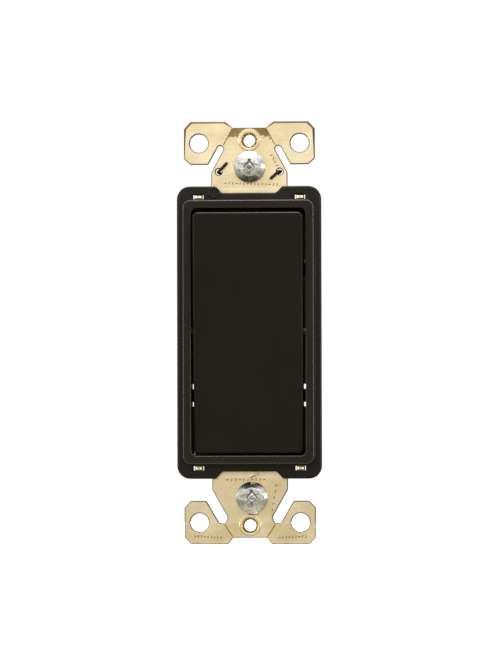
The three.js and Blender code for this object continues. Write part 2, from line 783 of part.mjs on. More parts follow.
// A slotted hex head with its own washer, its underside at the origin.
function makeGroundScrew() {
  const { washerRadius, washerHeight, hexRadius, headHeight, shankRadius, length } = HEX_SCREW;
  const washer = turned([
    [0, -washerHeight],
    [washerRadius - 0.15, -washerHeight],
    [washerRadius, 0],
    [shankRadius, 0],
    [shankRadius, length],
    [0, length],
  ]);
  const hexHeight = headHeight - washerHeight + 0.4;
  const hexagon = new THREE.CylinderGeometry(hexRadius, hexRadius, hexHeight, 6);
  hexagon.translate(0, -headHeight + hexHeight / 2, 0);
  const slot = block([-4, 4], [-headHeight - 1, -headHeight + 0.8], [-0.5, 0.5]);
  return cut(join(washer, toSolid(hexagon)), slot);
}

function makeRetainer() {
  const { halfX, halfZ, corner, thickness, holeRadius } = RETAINER;
  const washer = plate(roundedRectangle(halfX, halfZ, corner), 0, thickness);
  return cut(washer, rod('y', [0, thickness / 2, 0], holeRadius, 3));
}

// The clip's wire: both ends hook over the strap's front, and its middle crosses behind the
// strap, close under the top box screw.
function makeGroundClip() {
  const frontY = STRAP_FRONT - CLIP_RADIUS - SEAT_GAP;
  const behindY = 1.65;
  const { clipHoleX, clipHoleZ } = STRAP;
  const route = [
    [-5.7, frontY, 42.6],
    [-7.35, frontY, 40.85],
    [-clipHoleX - 0.1, frontY + 0.4, clipHoleZ - 0.05],
    [-clipHoleX - 0.1, 0.9, clipHoleZ - 0.1],
    [-clipHoleX + 1.0, behindY, 40.1],
    [-2.6, behindY, 39.5],
    [0, behindY, 39.4],
    [2.6, behindY, 39.5],
    [clipHoleX - 1.0, behindY, 40.1],
    [clipHoleX + 0.1, 0.9, clipHoleZ + 0.1],
    [clipHoleX + 0.1, frontY + 0.4, clipHoleZ + 0.05],
    [7.3, frontY, 40.4],
    [5.5, frontY, 38.8],
  ];
  const curve = new THREE.CatmullRomCurve3(route.map((point) => new THREE.Vector3(...point)));
  return wire(curve, CLIP_RADIUS, 56, 8);
}

// ---------------------------------------------------------------- assembly

const group = new THREE.Group();

function addNode(parent, name, solid, paint, position = [0, 0, 0], rotation = [0, 0, 0]) {
  const mesh = new THREE.Mesh(toGeometry(solid), paint);
  mesh.name = name;
  mesh.position.set(...position);
  mesh.rotation.set(...rotation);
  parent.add(mesh);
}

addNode(group, 'mounting_strap', makeStrap(), PAINT.strap);
addNode(group, 'front_frame', makeFrame(), PAINT.frame);
addNode(group, 'rear_housing', makeHousing(), PAINT.housing);

const rockerGroup = new THREE.Group();
rockerGroup.position.set(0, ROCKER.pivotY, 0);
rockerGroup.rotation.x = ROCKER.tilt;
group.add(rockerGroup);
addNode(rockerGroup, 'rocker_paddle', makePaddle(), PAINT.rocker);
addNode(rockerGroup, 'plunger', makePlunger(), PAINT.acetal);
addNode(rockerGroup, 'plunger_spring', makePlungerSpring(), PAINT.spring);

const armGroup = new THREE.Group();
armGroup.position.set(0, ARM.pivotY, 0);
armGroup.rotation.x = ARM.tilt;
group.add(armGroup);
addNode(armGroup, 'contact_arm', makeContactArm(), PAINT.brass);
addNode(armGroup, 'moving_contact', contactButton(SEAT_GAP), PAINT.silver);

addNode(group, 'common_terminal', makeCommonTerminal(), PAINT.brass);
addNode(group, 'switched_terminal', makeSwitchedTerminal(), PAINT.brass);
const fixedContactY = TERMINAL.armFrontY - SEAT_GAP - CONTACT.height;
addNode(group, 'fixed_contact', contactButton(fixedContactY), PAINT.silver);

const sides = { common: TERMINAL.commonZ, switched: TERMINAL.switchedZ };
for (const [name, z] of Object.entries(sides)) {
  const headSeat = [TERMINAL.plateOuter + SEAT_GAP, TERMINAL.screwY, z];
  const screw = makeScrew(WIRE_SCREW);
  addNode(group, `terminal_screw_${name}`, screw, PAINT.brass, headSeat, [0, 0, Math.PI / 2]);
  addNode(group, `push_in_spring_${name}`, makePushInSpring(z), PAINT.spring);
}

const groundSeat = [GROUND.tabOuter - SEAT_GAP, GROUND.y, GROUND.z];
addNode(group, 'ground_screw', makeGroundScrew(), PAINT.green, groundSeat, [0, 0, -Math.PI / 2]);

// The box screws hang loosely in their slots, so the bottom one sits a little off centre.
const boxScrews = {
  top: { x: 0.1, z: STRAP.boxScrewZ, turn: 3.5 },
  bottom: { x: 0.55, z: -STRAP.boxScrewZ + 0.25, turn: 0 },
};
for (const [name, { x, z, turn }] of Object.entries(boxScrews)) {
  const headSeat = [x, STRAP_FRONT - COLLAR.height - SEAT_GAP, z];
  const screw = makeScrew(BOX_SCREW);
  addNode(group, `mounting_screw_${name}`, screw, PAINT.zinc, headSeat, [0, turn * DEG, 0]);
  addNode(group, `screw_retainer_${name}`, makeRetainer(), PAINT.fibre, [x, SEAT_GAP, z]);
}

addNode(group, 'ground_clip', makeGroundClip(), PAINT.clip);

export default group;
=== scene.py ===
"""A black decorator rocker wall switch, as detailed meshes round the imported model.

Metres, +Z up, the front towards -Y, and y = 0 at the rear face of the steel strap. The shape
functions below work in millimetres, and mesh_piece() scales them once. Each section makes one
sub-part of the switch.
"""

import math

import bmesh
import bpy
from mathutils import Matrix, Vector, geometry


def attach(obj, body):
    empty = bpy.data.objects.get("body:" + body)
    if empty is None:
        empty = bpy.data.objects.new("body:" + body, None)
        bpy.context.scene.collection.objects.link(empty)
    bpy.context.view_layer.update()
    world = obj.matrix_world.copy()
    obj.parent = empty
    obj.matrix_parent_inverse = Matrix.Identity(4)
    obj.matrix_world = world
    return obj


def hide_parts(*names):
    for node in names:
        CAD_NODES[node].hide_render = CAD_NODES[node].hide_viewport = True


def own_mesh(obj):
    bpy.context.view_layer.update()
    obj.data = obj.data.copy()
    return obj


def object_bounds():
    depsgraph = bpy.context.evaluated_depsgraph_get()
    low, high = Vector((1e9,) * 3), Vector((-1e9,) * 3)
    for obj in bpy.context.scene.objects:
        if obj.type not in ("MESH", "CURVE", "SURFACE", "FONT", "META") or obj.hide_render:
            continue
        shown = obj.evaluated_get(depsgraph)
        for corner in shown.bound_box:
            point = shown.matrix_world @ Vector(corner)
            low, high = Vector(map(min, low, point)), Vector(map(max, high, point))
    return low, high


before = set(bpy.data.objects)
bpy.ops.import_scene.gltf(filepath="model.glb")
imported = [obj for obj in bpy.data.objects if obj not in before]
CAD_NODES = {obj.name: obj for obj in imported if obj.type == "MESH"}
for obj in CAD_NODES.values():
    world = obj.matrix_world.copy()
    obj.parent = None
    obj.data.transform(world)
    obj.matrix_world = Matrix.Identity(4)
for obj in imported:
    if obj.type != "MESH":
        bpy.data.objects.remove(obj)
CAD_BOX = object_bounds()

MM = 0.001
SMOOTH_ANGLE, FLAT_ANGLE = math.radians(38), math.radians(0.2)
WELD, SLIVER = 2e-7, 1e-7
CAD_WELD, CAD_FLAT_ANGLE, CAD_SHARP_ANGLE = 1e-6, math.radians(1), math.radians(40)
# Signs: a side is +X or -X and an end +Z or -Z, and the quadrants go round counterclockwise.
SIDES = (1, -1)
QUADRANTS = ((1, 1), (-1, 1), (-1, -1), (1, -1))

# ---- dimensions, in millimetres

STRAP_FRONT, STRAP_REAR, STRAP_OPENING_HALF, LUG_SLOT_HALF = -1.27, 0.0, (15.2, 31.85), (1.55, 0.6)
RAIL_HALF, SHOULDER_Z = 17.0, 36.2
PLATE_SCREW_Z, BOX_SCREW_Z = 48.42, 41.67
EAR_HOLE, EAR_HOLE_RADIUS = (12.7, 47.7), 2.325
CLIP_HOLE, CLIP_HOLE_RADIUS, CLIP_RADIUS = (7.7, 40.5), 0.8, 0.37
BOX_SLOT_HALF, BOX_SLOT_CORNER, NOTCH = (3.3, 2.0), 1.9, (1.9, -45.5)
COLLAR_HOLE, COLLAR_RING, COLLAR_HEIGHT, THREAD_HOLE = 2.5, 2.8, 0.3, 1.48
TONGUE_PLACE, TONGUE_TURN = (1.25, 0, -35.6), math.radians(-24)

FLANGE_HALF, FLANGE_FRONT, FRAME_REAR = (18.15, 36.75), -3.4, -1.42
INSERT_HALF, INSERT_FRONT = (16.5, 33.1), -7.4
OPENING_HALF, SLEEVE_WALL, SLEEVE_REAR = (14.4, 31.05), 0.6, -0.1
WINDOW, WINDOW_HALF, WINDOW_SLOT_HALF, WINDOW_WEB = (12.8, 34.1), (1.6, 0.8), (1.3, 0.54), -1.9
SCOOP_DEPTH, SCOOP_HALF, SCOOP_RUN = {1: 1.65, -1: 1.8}, 6.5, 2.3
FLANGE_CORNER, INSERT_CORNER, OPENING_CORNER = 3.3, 2.0, 1.4
FLANGE_BEND, ROOT_BEND, INSERT_BEND, OPENING_BEND = 0.4, 0.2, 0.3, 0.15
INSERT_DRAFT, REAR_CHAMFER = 0.05, 0.12
LEG_Z, LEG_HALF, LEG_FRONT, LEG_REAR, SLIT = 15.75, 1.6, -0.8, 8.6, 1.2
LEDGE_END, MARK_BOSS = 29.0, (-8.8, 0, 35.1)

PIVOT, TILT = (0, -4.0, 0), math.radians(5)
ROCKER_HALF, ROCKER_FACE, ROCKER_REAR = (13.75, 30.25), -4.2, 0.2
ROCKER_WALL, PIN_RADIUS, PIN_END = 1.5, 1.1, 15.1
STEM_HALF, STEM_END, BORE_RADIUS, BORE_START = 3.0, 9.5, 1.85, 1.0
PLUNGER_SHOULDER, PLUNGER_TRAVEL = 6.5, 0.8

THREAD_PITCH, THREAD_START, HEAD_SEAT_Y = 25.4 / 32, -0.05, -1.72
HEAD_CROWN, HEAD_FLANK = math.radians(5), math.radians(33)
CROWN_RADIUS, FLANK_WIDTH, SHOULDER_BEND, RIM_BEND, SLOT_HALF = 2.2, 1.3, 0.33, 0.3, 0.58
BOX_SCREWS = {"top": (0.1, 41.67, 3.5), "bottom": (0.55, -41.42, 0)}
SIDE_SCREWS, SIDE_SCREW_SEAT = {"common": 21.6, "switched": 0.0}, (14.75, 8.0)
GROUND_SCREW_SEAT, HEX_FLAT, HEX_CORNER = (-15.25, 6.2, -28.2), 2.68, 3.02

# A wire's domed end, as (distance past the end, radius) in wire radii.
WIRE_END = ((1, 0.25), (0.7, 0.75), (0, 1))
# The front edge of a blanked sheet, as (inset, depth).
DIE_ROLL = ((0.21, 0), (0.03, 0.33), (0, 0.45))
DEEPEST_ROLL = 2.2


# ---- flat outlines, as (x, z)

def arc(centre, radius, start, end, steps):
    """Points on an arc, both ends included, angles in degrees."""
    points = []
    for step in range(steps + 1):
        angle = math.radians(start + (end - start) * step / steps)
        points.append((centre[0] + radius * math.cos(angle), centre[1] + radius * math.sin(angle)))
    return points


def circle(centre, radius, steps=48):
    return arc(centre, radius, 0, 360, steps)[:-1]


def rounded_rectangle(half, radius, centre=(0, 0), steps=8):
    """A rectangle with round corners, counterclockwise from the +X side."""
    points = []
    for index, (side_x, side_z) in enumerate(QUADRANTS):
        corner = (centre[0] + side_x * (half[0] - radius), centre[1] + side_z * (half[1] - radius))
        points += arc(corner, radius, 90 * index, 90 * (index + 1), steps)
    return points


def rounding(steps):
    """A quarter turn as pairs of (1 - cosine, 1 - sine), for rounding an edge over."""
    turn = [math.pi / 2 * step / steps for step in range(steps + 1)]
    return [(1 - math.cos(a), 1 - math.sin(a)) for a in turn]


def offset(points, distance, scales=None):
    """A counterclockwise outline moved inwards, or a clockwise hole moved outwards."""
    moved = []
    for index, here in enumerate(points):
        before = Vector(here) - Vector(points[index - 1])
        after = Vector(points[(index + 1) % len(points)]) - Vector(here)
        before, after = before.normalized(), after.normalized()
        normal = Vector((-before.y - after.y, before.x + after.x)).normalized()
        cosine = max(0.35, normal.dot(Vector((-before.y, before.x))))
        reach = distance * (scales[index] if scales else 1)
        moved.append(tuple(Vector(here) + normal * (reach / cosine)))
    return moved


# ---- closed shells, in millimetres

def ring_faces(first, second, count):
    """Quads between two rings of vertices that start at the given indices."""
    faces = []
    for index in range(count):
        after = (index + 1) % count
        faces.append((first + index, first + after, second + after, second + index))
    return faces


def lofted(rings, looped=False):
    """A shell through rings of 3-D points, capped at both ends or looped back to the first."""
    count = len(rings[0])
    vertices = [point for ring in rings for point in ring]
    faces = []
    for index in range(len(rings) - 1):
        faces += ring_faces(index * count, (index + 1) * count, count)
    if looped:
        faces += ring_faces((len(rings) - 1) * count, 0, count)
    else:
        faces.append(tuple(range(count)))
        faces.append(tuple(range(len(vertices) - count, len(vertices))))
    return vertices, faces


def at_depth(outline, y):
    return [(x, y, z) for x, z in outline]


def dent(start, end, half_width, depth, front):
    """A V-shaped groove in a sheet's front: its rim and floor vertices, and its faces."""
    start, end = Vector(start), Vector(end)
    along = (end - start).normalized() * half_width
    across = Vector((-along.y, along.x))
    rim = [start + across, start - across, end - across, end + across]
    vertices = [(point.x, front, point.y) for point in rim]
    vertices += [(point.x, front + depth, point.y) for point in (start + along, end - along)]
    return vertices, [(0, 1, 4), (1, 2, 5, 4), (2, 3, 5), (3, 0, 4, 5)]


def sheet(outer, holes, front, rear, edge, steps=3, roll=None, dents=()):
    """A flat sheet with holes and rounded edges. A die roll widens the front edge point by point."""
    loops = [outer] + [list(reversed(hole)) for hole in holes]
    rounded = [(edge * v, edge * u) for u, v in rounding(steps)]
    front_levels = DIE_ROLL if roll else rounded
    levels = len(front_levels) + len(rounded)
    vertices, faces = [], []
    front_loops, rear_loops = [], []
    for loop in loops:
        start, count = len(vertices), len(loop)
        scales = [roll(point) if roll else 1 for point in loop]
        for inset, depth in front_levels:
            moved = offset(loop, inset, scales)
            depths = [depth * min(scale, DEEPEST_ROLL) for scale in scales]
            vertices += [(x, front + deep, z) for (x, z), deep in zip(moved, depths)]
        for inset, depth in reversed(rounded):
            vertices += at_depth(offset(loop, inset), rear - depth)
        for level in range(levels - 1):
            faces += ring_faces(start + level * count, start + (level + 1) * count, count)
        front_loops.append(range(start, start + count))
        rear_loops.append(range(len(vertices) - count, len(vertices)))
    for first, last, half_width, depth in dents:
        start = len(vertices)
        dent_vertices, dent_faces = dent(first, last, half_width, depth, front)
        vertices += dent_vertices
        faces += [tuple(start + index for index in face) for face in dent_faces]
        front_loops.append(range(start, start + 4))
    for group in (front_loops, rear_loops):
        flat = [index for loop in group for index in loop]
        corners = [[Vector((vertices[i][0], vertices[i][2], 0)) for i in loop] for loop in group]
        triangles = geometry.tessellate_polygon(corners)
        faces += [tuple(flat[i] for i in triangle) for triangle in triangles]
    return vertices, faces


def block(xs, ys, zs, edge, steps=2):
    """A box with its edges rounded over."""
    (x0, x1), (y0, y1), (z0, z1) = sorted(xs), sorted(ys), sorted(zs)
    half = ((x1 - x0) / 2, (z1 - z0) / 2)
    radius = min(edge, *(0.45 * side for side in (x1 - x0, y1 - y0, z1 - z0)))
    centre = ((x0 + x1) / 2, (z0 + z1) / 2)
    outline = rounded_rectangle(half, radius, centre, steps)
    return sheet(outline, [], y0, y1, radius * 0.9, steps)


def ring_round(radii, y, centre=(0, 0, 0)):
    """A ring of points round a line along Y, evenly spaced, each at its own radius."""
    ring = []
    for index, radius in enumerate(radii):
        angle = 2 * math.pi * index / len(radii)
        x, z = radius * math.cos(angle), radius * math.sin(angle)
        ring.append((centre[0] + x, centre[1] + y, centre[2] + z))
    return ring


def turned(profile, centre=(0, 0, 0), segments=64):
    """A profile of (radius, y) points turned about a line along Y. Radius 0 closes an end."""
    rings = [ring_round([max(radius, 1e-4)] * segments, y, centre) for radius, y in profile]
    closed = profile[0][0] > 0 and profile[-1] == profile[0]
    return lofted(rings[:-1], looped=True) if closed else lofted(rings)


def swept(route, radius, sides):
    """A round wire with domed ends along a list of 3-D points."""
    points = [Vector(point) for point in route]
    tangents = []
    for index in range(len(points)):
        ahead = points[min(index + 1, len(points) - 1)]
        tangents.append((ahead - points[max(index - 1, 0)]).normalized())
    side = tangents[0].orthogonal().normalized()
    rings = []
    for index, (point, tangent) in enumerate(zip(points, tangents)):
        side = (side - tangent * side.dot(tangent)).normalized()
        up = tangent.cross(side)
        rows = WIRE_END if index == 0 else WIRE_END[-1:]
        if index == len(points) - 1:
            rows = [(-shift, scale) for shift, scale in reversed(WIRE_END)]
        for shift, scale in rows:
            middle = point - tangent * radius * shift
            ring = []
            for step in range(sides):
                angle = 2 * math.pi * step / sides
                spoke = side * math.cos(angle) + up * math.sin(angle)
                ring.append(tuple(middle + spoke * radius * scale))
            rings.append(ring)
    return lofted(rings)


def smooth_route(points):
    """A Catmull-Rom curve through given points."""
    steps = 8
    knots = [Vector(point) for point in points]
    knots = [2 * knots[0] - knots[1]] + knots + [2 * knots[-1] - knots[-2]]
    route = []
    for index in range(1, len(knots) - 2):
        a, b, c, d = knots[index - 1:index + 3]
        for step in range(steps):
            t = step / steps
            position = 2 * b + (c - a) * t + (2 * a - 5 * b + 4 * c - d) * t * t
            position += (3 * b - a - 3 * c + d) * t ** 3
            route.append(tuple(position / 2))
    route.append(tuple(knots[-2]))
    return route


def merged(shells):
    """Several shells as one."""
    vertices, faces = [], []
    for shell_vertices, shell_faces in shells:
        start = len(vertices)
        vertices += shell_vertices
        faces += [tuple(start + index for index in face) for face in shell_faces]
    return vertices, faces


def placed(shell, matrix):
    vertices, faces = shell
    return [tuple(matrix @ Vector(vertex)) for vertex in vertices], faces


def posed(place, angle, axis):
    """A turn about an axis through the origin, then a move."""
    return Matrix.Translation(place) @ Matrix.Rotation(angle, 4, axis)


# ---- pieces

def flat_regions(work):
    """The area of the flat region each face belongs to, by face index."""
    areas, flat = {}, math.cos(FLAT_ANGLE)
    for first in work.faces:
        if first.index in areas:
            continue
        areas[first.index] = 0.0
        region, waiting = [], [first]
        while waiting:
            face = waiting.pop()
            region.append(face)
            for edge in face.edges:
                for other in edge.link_faces:
                    if other.index not in areas and other.normal.dot(face.normal) > flat:
                        areas[other.index] = 0.0
                        waiting.append(other)
        total = sum(face.calc_area() for face in region)
        areas.update((face.index, total) for face in region)
    return areas


def clean(mesh_data):
    """Outward normals, no doubled vertices, and smooth shading that leaves flat faces flat."""
    work = bmesh.new()
    work.from_mesh(mesh_data)
    bmesh.ops.remove_doubles(work, verts=work.verts, dist=WELD)
    bmesh.ops.dissolve_degenerate(work, edges=work.edges, dist=SLIVER)
    bmesh.ops.recalc_face_normals(work, faces=work.faces)
    work.to_mesh(mesh_data)
    work.faces.index_update()
    work.normal_update()
    areas, smooth = flat_regions(work), math.cos(SMOOTH_ANGLE)
    corners = []
    for face in work.faces:
        for vertex in face.verts:
            normal = Vector()
            for other in vertex.link_faces:
                if other.normal.dot(face.normal) > smooth:
                    normal += other.normal * areas[other.index]
            corners.append(normal.normalized() if normal.length else face.normal.copy())
    work.free()
    mesh_data.polygons.foreach_set("use_smooth", [True] * len(mesh_data.polygons))
    mesh_data.normals_split_custom_set(corners)
    mesh_data.update()


def new_mesh(name, shell, scale=1.0):
    vertices, faces = shell
    mesh_data = bpy.data.meshes.new(name)
    mesh_data.from_pydata([Vector(vertex) * scale for vertex in vertices], [], faces)
    return mesh_data


def added(name, data):
    """A new object in the scene for a mesh, a lamp or a camera."""
    made = bpy.data.objects.new(name, data)
    bpy.context.scene.collection.objects.link(made)
    return made


def finished(name, mesh_data, body, slot, node):
    """The piece that stands in for a CAD node, in its slot's material, riding on a body."""
    clean(mesh_data)
    mesh_data.materials.append(SURFACES[slot])
    piece = added(name, mesh_data)
    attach(piece, body)
    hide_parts(node)
    return piece


def mesh_piece(name, shells, body, slot, node, matrix=Matrix()):
    """A piece from closed shells in millimetres, moved by a matrix in millimetres."""
    return finished(name, new_mesh(name, placed(merged(shells), matrix), MM), body, slot, node)


def carved(name, shell, cutters):
    """A closed shell with others cut from it, as a shell again."""
    def temporary(label, parts):
        mesh_data = new_mesh(label, parts)
        clean(mesh_data)
        return added(label, mesh_data)

    target = temporary(name + "_blank", shell)
    tools = []
    for index, cutter in enumerate(cutters):
        tools.append(temporary(f"{name}_cutter_{index}", cutter))
        boolean = target.modifiers.new("cut", "BOOLEAN")
        boolean.operation, boolean.solver, boolean.object = "DIFFERENCE", "EXACT", tools[-1]
    bpy.context.view_layer.update()
    result = target.evaluated_get(bpy.context.evaluated_depsgraph_get()).to_mesh()
    vertices = [tuple(vertex.co) for vertex in result.vertices]
    faces = [tuple(polygon.vertices) for polygon in result.polygons]
    for thing in [target, *tools]:
        mesh_data = thing.data
        bpy.data.objects.remove(thing)
        bpy.data.meshes.remove(mesh_data)
    return vertices, faces


def refined(node, body, slot, edge):
    """A piece with a CAD node's shape and truly rounded edges."""
    mesh_data = CAD_NODES[node].data.copy()
    mesh_data.materials.clear()
    work = bmesh.new()
    work.from_mesh(mesh_data)
    bmesh.ops.remove_doubles(work, verts=work.verts, dist=CAD_WELD)
    bmesh.ops.dissolve_limit(
        work, angle_limit=CAD_FLAT_ANGLE, verts=work.verts, edges=work.edges,
    )
    sharp = [e for e in work.edges if e.is_manifold and e.calc_face_angle(0) > CAD_SHARP_ANGLE]
    bmesh.ops.bevel(
        work, geom=sharp, offset=edge * MM, offset_type="OFFSET", segments=2, profile=0.5,
        affect="EDGES", clamp_overlap=True, miter_outer="SHARP",
    )
    work.to_mesh(mesh_data)
    work.free()
    return finished(node + "_detail", mesh_data, body, slot, node)


# ---- materials

class Nodes:
    """Short calls for the nodes of a material or of the world."""

    def __init__(self, tree):
        self.tree = tree

    def feed(self, value, socket):
        """Links a socket's value, or sets a plain one."""
        if isinstance(value, bpy.types.NodeSocket):
            self.tree.links.new(value, socket)
        else:
            socket.default_value = value

    def node(self, kind, **inputs):
        made = self.tree.nodes.new(kind)
        for socket, value in inputs.items():
            self.feed(value, made.inputs[socket.replace("_", " ")])
        return made

    def spread(self, value, low, high, to_low=0, to_high=1, interpolation="LINEAR"):
        """The value carried from one range to another, and held at its ends."""
        made = self.node(
            "ShaderNodeMapRange", Value=value, From_Min=low, From_Max=high, To_Min=to_low,
            To_Max=to_high,
        )
        made.interpolation_type = interpolation
        return made.outputs["Result"]

    def sum(self, operation, *values):
        made = self.tree.nodes.new("ShaderNodeMath")
        made.operation = operation
        for value, socket in zip(values, made.inputs):
            self.feed(value, socket)
        return made.outputs[0]

    def times(self, first, second):
        return self.sum("MULTIPLY", first, second)

    def plus(self, first, second):
        return self.sum("ADD", first, second)

    def blend(self, factor, first, second):
        """A mix of two colours, each a triple or a colour socket."""
        made = self.tree.nodes.new("ShaderNodeMix")
        made.data_type = "RGBA"
        colours = [c if isinstance(c, bpy.types.NodeSocket) else (*c, 1) for c in (first, second)]
        for index, value in ((0, factor), (6, colours[0]), (7, colours[1])):
            self.feed(value, made.inputs[index])
        return made.outputs[2]


class Shader(Nodes):
    """A Principled material, with the textures that feed it."""

    def __init__(self, name, roughness, metallic=0.0, **constants):
        self.material = bpy.data.materials.new(name)
        self.material.use_nodes = True
        super().__init__(self.material.node_tree)
        self.surface = self.tree.nodes["Principled BSDF"]
        constants.update(Metallic=metallic, Roughness=roughness)
        for socket, value in constants.items():
            self.surface.inputs[socket.replace("_", " ")].default_value = value
        self.place = self.node("ShaderNodeTexCoord").outputs["Object"]

    def stretched(self, x, y, z):
        return self.node("ShaderNodeMapping", Vector=self.place, Scale=(x, y, z)).outputs["Vector"]

    def noise(self, scale, detail, vector=None):
        return self.node(
            "ShaderNodeTexNoise", Vector=vector or self.place, Scale=scale, Detail=detail,
        ).outputs["Fac"]

    def speckle(self, scale):
        return self.node(
            "ShaderNodeTexVoronoi", Vector=self.place, Scale=scale,
        ).outputs["Distance"]

    def edge_wear(self, low, high):
        """1 on convex edges and 0 on flat faces. With low above high, 1 in concave ones."""
        return self.spread(self.node("ShaderNodeNewGeometry").outputs["Pointiness"], low, high)

    def depth_band(self, front, rear, ramp_in, ramp_out):
        """1 between two depths along Y, in millimetres, with a ramp at each end."""
        depth = self.node("ShaderNodeSeparateXYZ", Vector=self.place).outputs["Y"]
        behind_front = self.spread(depth, front * MM, (front + ramp_in) * MM)
        before_rear = self.spread(depth, (rear - ramp_out) * MM, rear * MM, 1, 0)
        return self.times(behind_front, before_rear)

    def finish(self, tint, roughness, *bumps):
        """The material, fed. A bump is (height socket, depth in millimetres), coarse ones first."""
        self.feed(tint, self.surface.inputs["Base Color"])
        self.feed(roughness, self.surface.inputs["Roughness"])
        normal = None
        for height, depth in bumps:
            made = self.node("ShaderNodeBump", Height=height, Strength=1.0, Distance=depth * MM)
            if normal:
                self.feed(normal, made.inputs["Normal"])
            normal = made.outputs["Normal"]
        self.feed(normal, self.surface.inputs["Normal"])
        return self.material


def shade(colour, amount):
    return tuple(amount * value for value in colour)


def moulded_black(name, tone, warm, roughness, grain, wear_and_highlight=0.0, ridge=None):
    """Black moulded plastic: fine spark texture, faint flow marks, glossier edges and painted
    highlights.

    Edge gloss and painted highlight use pointiness, for even meshes only. A ridge is a depth band.
    """
    gloss = {"Specular_IOR_Level": 0.22, "IOR": 1.49, "Specular_Tint": (1, 0.9, 0.8, 1)}
    shader = Shader(name, roughness, **gloss)
    flow = shader.noise(60, 3, shader.stretched(1, 1, 0.25))
    tint = shader.blend(
        shader.spread(flow, 0.35, 0.65), shade(warm, 0.86 * tone), shade(warm, 1.14 * tone),
    )
    # A lighter tone, painted on the edges as a highlight.
    painted_highlight = shade(warm, 9 * tone)
    worn_highlit_edges = shader.edge_wear(0.52, 0.6)
    tint = shader.blend(shader.times(worn_highlit_edges, wear_and_highlight), tint, painted_highlight)
    # A ridge paints the same highlight along a depth band.
    if ridge:
        tint = shader.blend(shader.depth_band(*ridge), tint, painted_highlight)
    smudges = shader.spread(shader.noise(95, 5), 0.3, 0.7, roughness - 0.05, roughness + 0.07)
    smudges = shader.sum("SUBTRACT", smudges, shader.times(worn_highlit_edges, 0.15 * wear_and_highlight))
    sparks = (shader.noise(3800, 2), grain), (shader.speckle(5200), grain * 0.5)
    return shader.finish(tint, smudges, (flow, 0.006), *sparks)


def dark_reflection_patches(shader):
    """1 in two patches between the score lines and upper collar: a painted dark reflection."""
    axes = shader.node("ShaderNodeSeparateXYZ", Vector=shader.place).outputs
    across = shader.sum("ABSOLUTE", axes["X"])
    above = shader.sum("SUBTRACT", axes["Z"], PLATE_SCREW_Z * MM)
    squares = shader.plus(shader.times(across, across), shader.times(above, above))
    beyond_collar = shader.spread(squares, (2.9 * MM) ** 2, (3.05 * MM) ** 2)
    leaning = shader.plus(across, shader.times(axes["Z"], 0.52))
    inside_score = shader.spread(leaning, 30.85 * MM, 30.98 * MM, 1, 0)
    ragged = shader.spread(shader.noise(900, 3), 0.3, 0.7, -0.9 * MM, 0.9 * MM)
    high = shader.spread(shader.plus(axes["Z"], ragged), 49.1 * MM, 49.5 * MM)
    return shader.times(shader.times(beyond_collar, inside_score), high)


def plated(
    name, dark, light, roughness, brush=(1, 1, 1), wear_and_highlight=None, grain=0.002, mottle=0.15, recess_shade=0.0,
    strap=False,
):
    """Plated or bare metal: uneven tint, rolling marks, tiny pits and rubbed edges.

    On the strap, a dark reflection is also painted by the upper collar and on the cut edges.
    """
    shader = Shader(name, roughness, metallic=1.0)
    clouds = shader.noise(140, 5)
    streaks = shader.noise(900, 4, shader.stretched(*brush))
    tint = shader.blend(shader.spread(clouds, 0.3, 0.7), dark, light)
    spots = shader.spread(shader.noise(1500, 4), 0.45, 0.7, 0, mottle)
    tint = shader.blend(spots, tint, shade(dark, 0.4))
    # Painted shade: darker in concave recesses, such as a screw head's slot and socket.
    corners = shader.times(shader.edge_wear(0.49, 0.42), recess_shade)
    tint = shader.blend(corners, tint, shade(dark, 0.15))
    # Painted dark reflection in two patches near the strap's upper collar.
    if strap:
        tint = shader.blend(dark_reflection_patches(shader), tint, (0.24, 0.16, 0.055))
    rubbed = shader.edge_wear(0.53, 0.62)
    tint = shader.blend(shader.times(rubbed, 0.6), tint, wear_and_highlight or light)
    # Painted dark reflection on the strap's cut edges.
    if strap:
        edge_dark_reflection = shader.depth_band(STRAP_FRONT + 0.03, STRAP_REAR - 0.1, 0.09, 0.2)
        tint = shader.blend(edge_dark_reflection, tint, shade(dark, 0.62))
    base = shader.spread(clouds, 0.25, 0.75, roughness - 0.05, roughness + 0.06)
    uneven = shader.plus(base, shader.spread(streaks, 0.3, 0.7, -0.03, 0.05))
    pits = shader.spread(shader.noise(2600, 3), 0.62, 0.75)
    return shader.finish(tint, uneven, (shader.noise(70, 2), 0.012), (streaks, grain), (pits, -grain))


def acetal():
    """Natural acetal: waxy white with a slight translucence."""
    shader = Shader("natural_acetal", 0.45, Subsurface_Weight=0.15, Subsurface_Scale=0.001)
    clouds = shader.spread(shader.noise(300, 4), 0.3, 0.7)
    tint = shader.blend(clouds, (0.72, 0.70, 0.64), (0.82, 0.80, 0.74))
    uneven = shader.spread(shader.noise(500, 3), 0.3, 0.7, 0.4, 0.52)
    return shader.finish(tint, uneven, (shader.noise(1800, 2), 0.003))


def fibre():
    """Vulcanised fibre: dark grey with short matted fibres."""
    shader = Shader("vulcanised_fibre", 0.78)
    strands = shader.noise(1400, 6, shader.stretched(0.25, 1, 1.4))
    tint = shader.blend(shader.spread(strands, 0.3, 0.7), (0.11, 0.11, 0.11), (0.2, 0.2, 0.19))
    return shader.finish(tint, shader.spread(strands, 0.3, 0.7, 0.7, 0.88), (strands, 0.01))


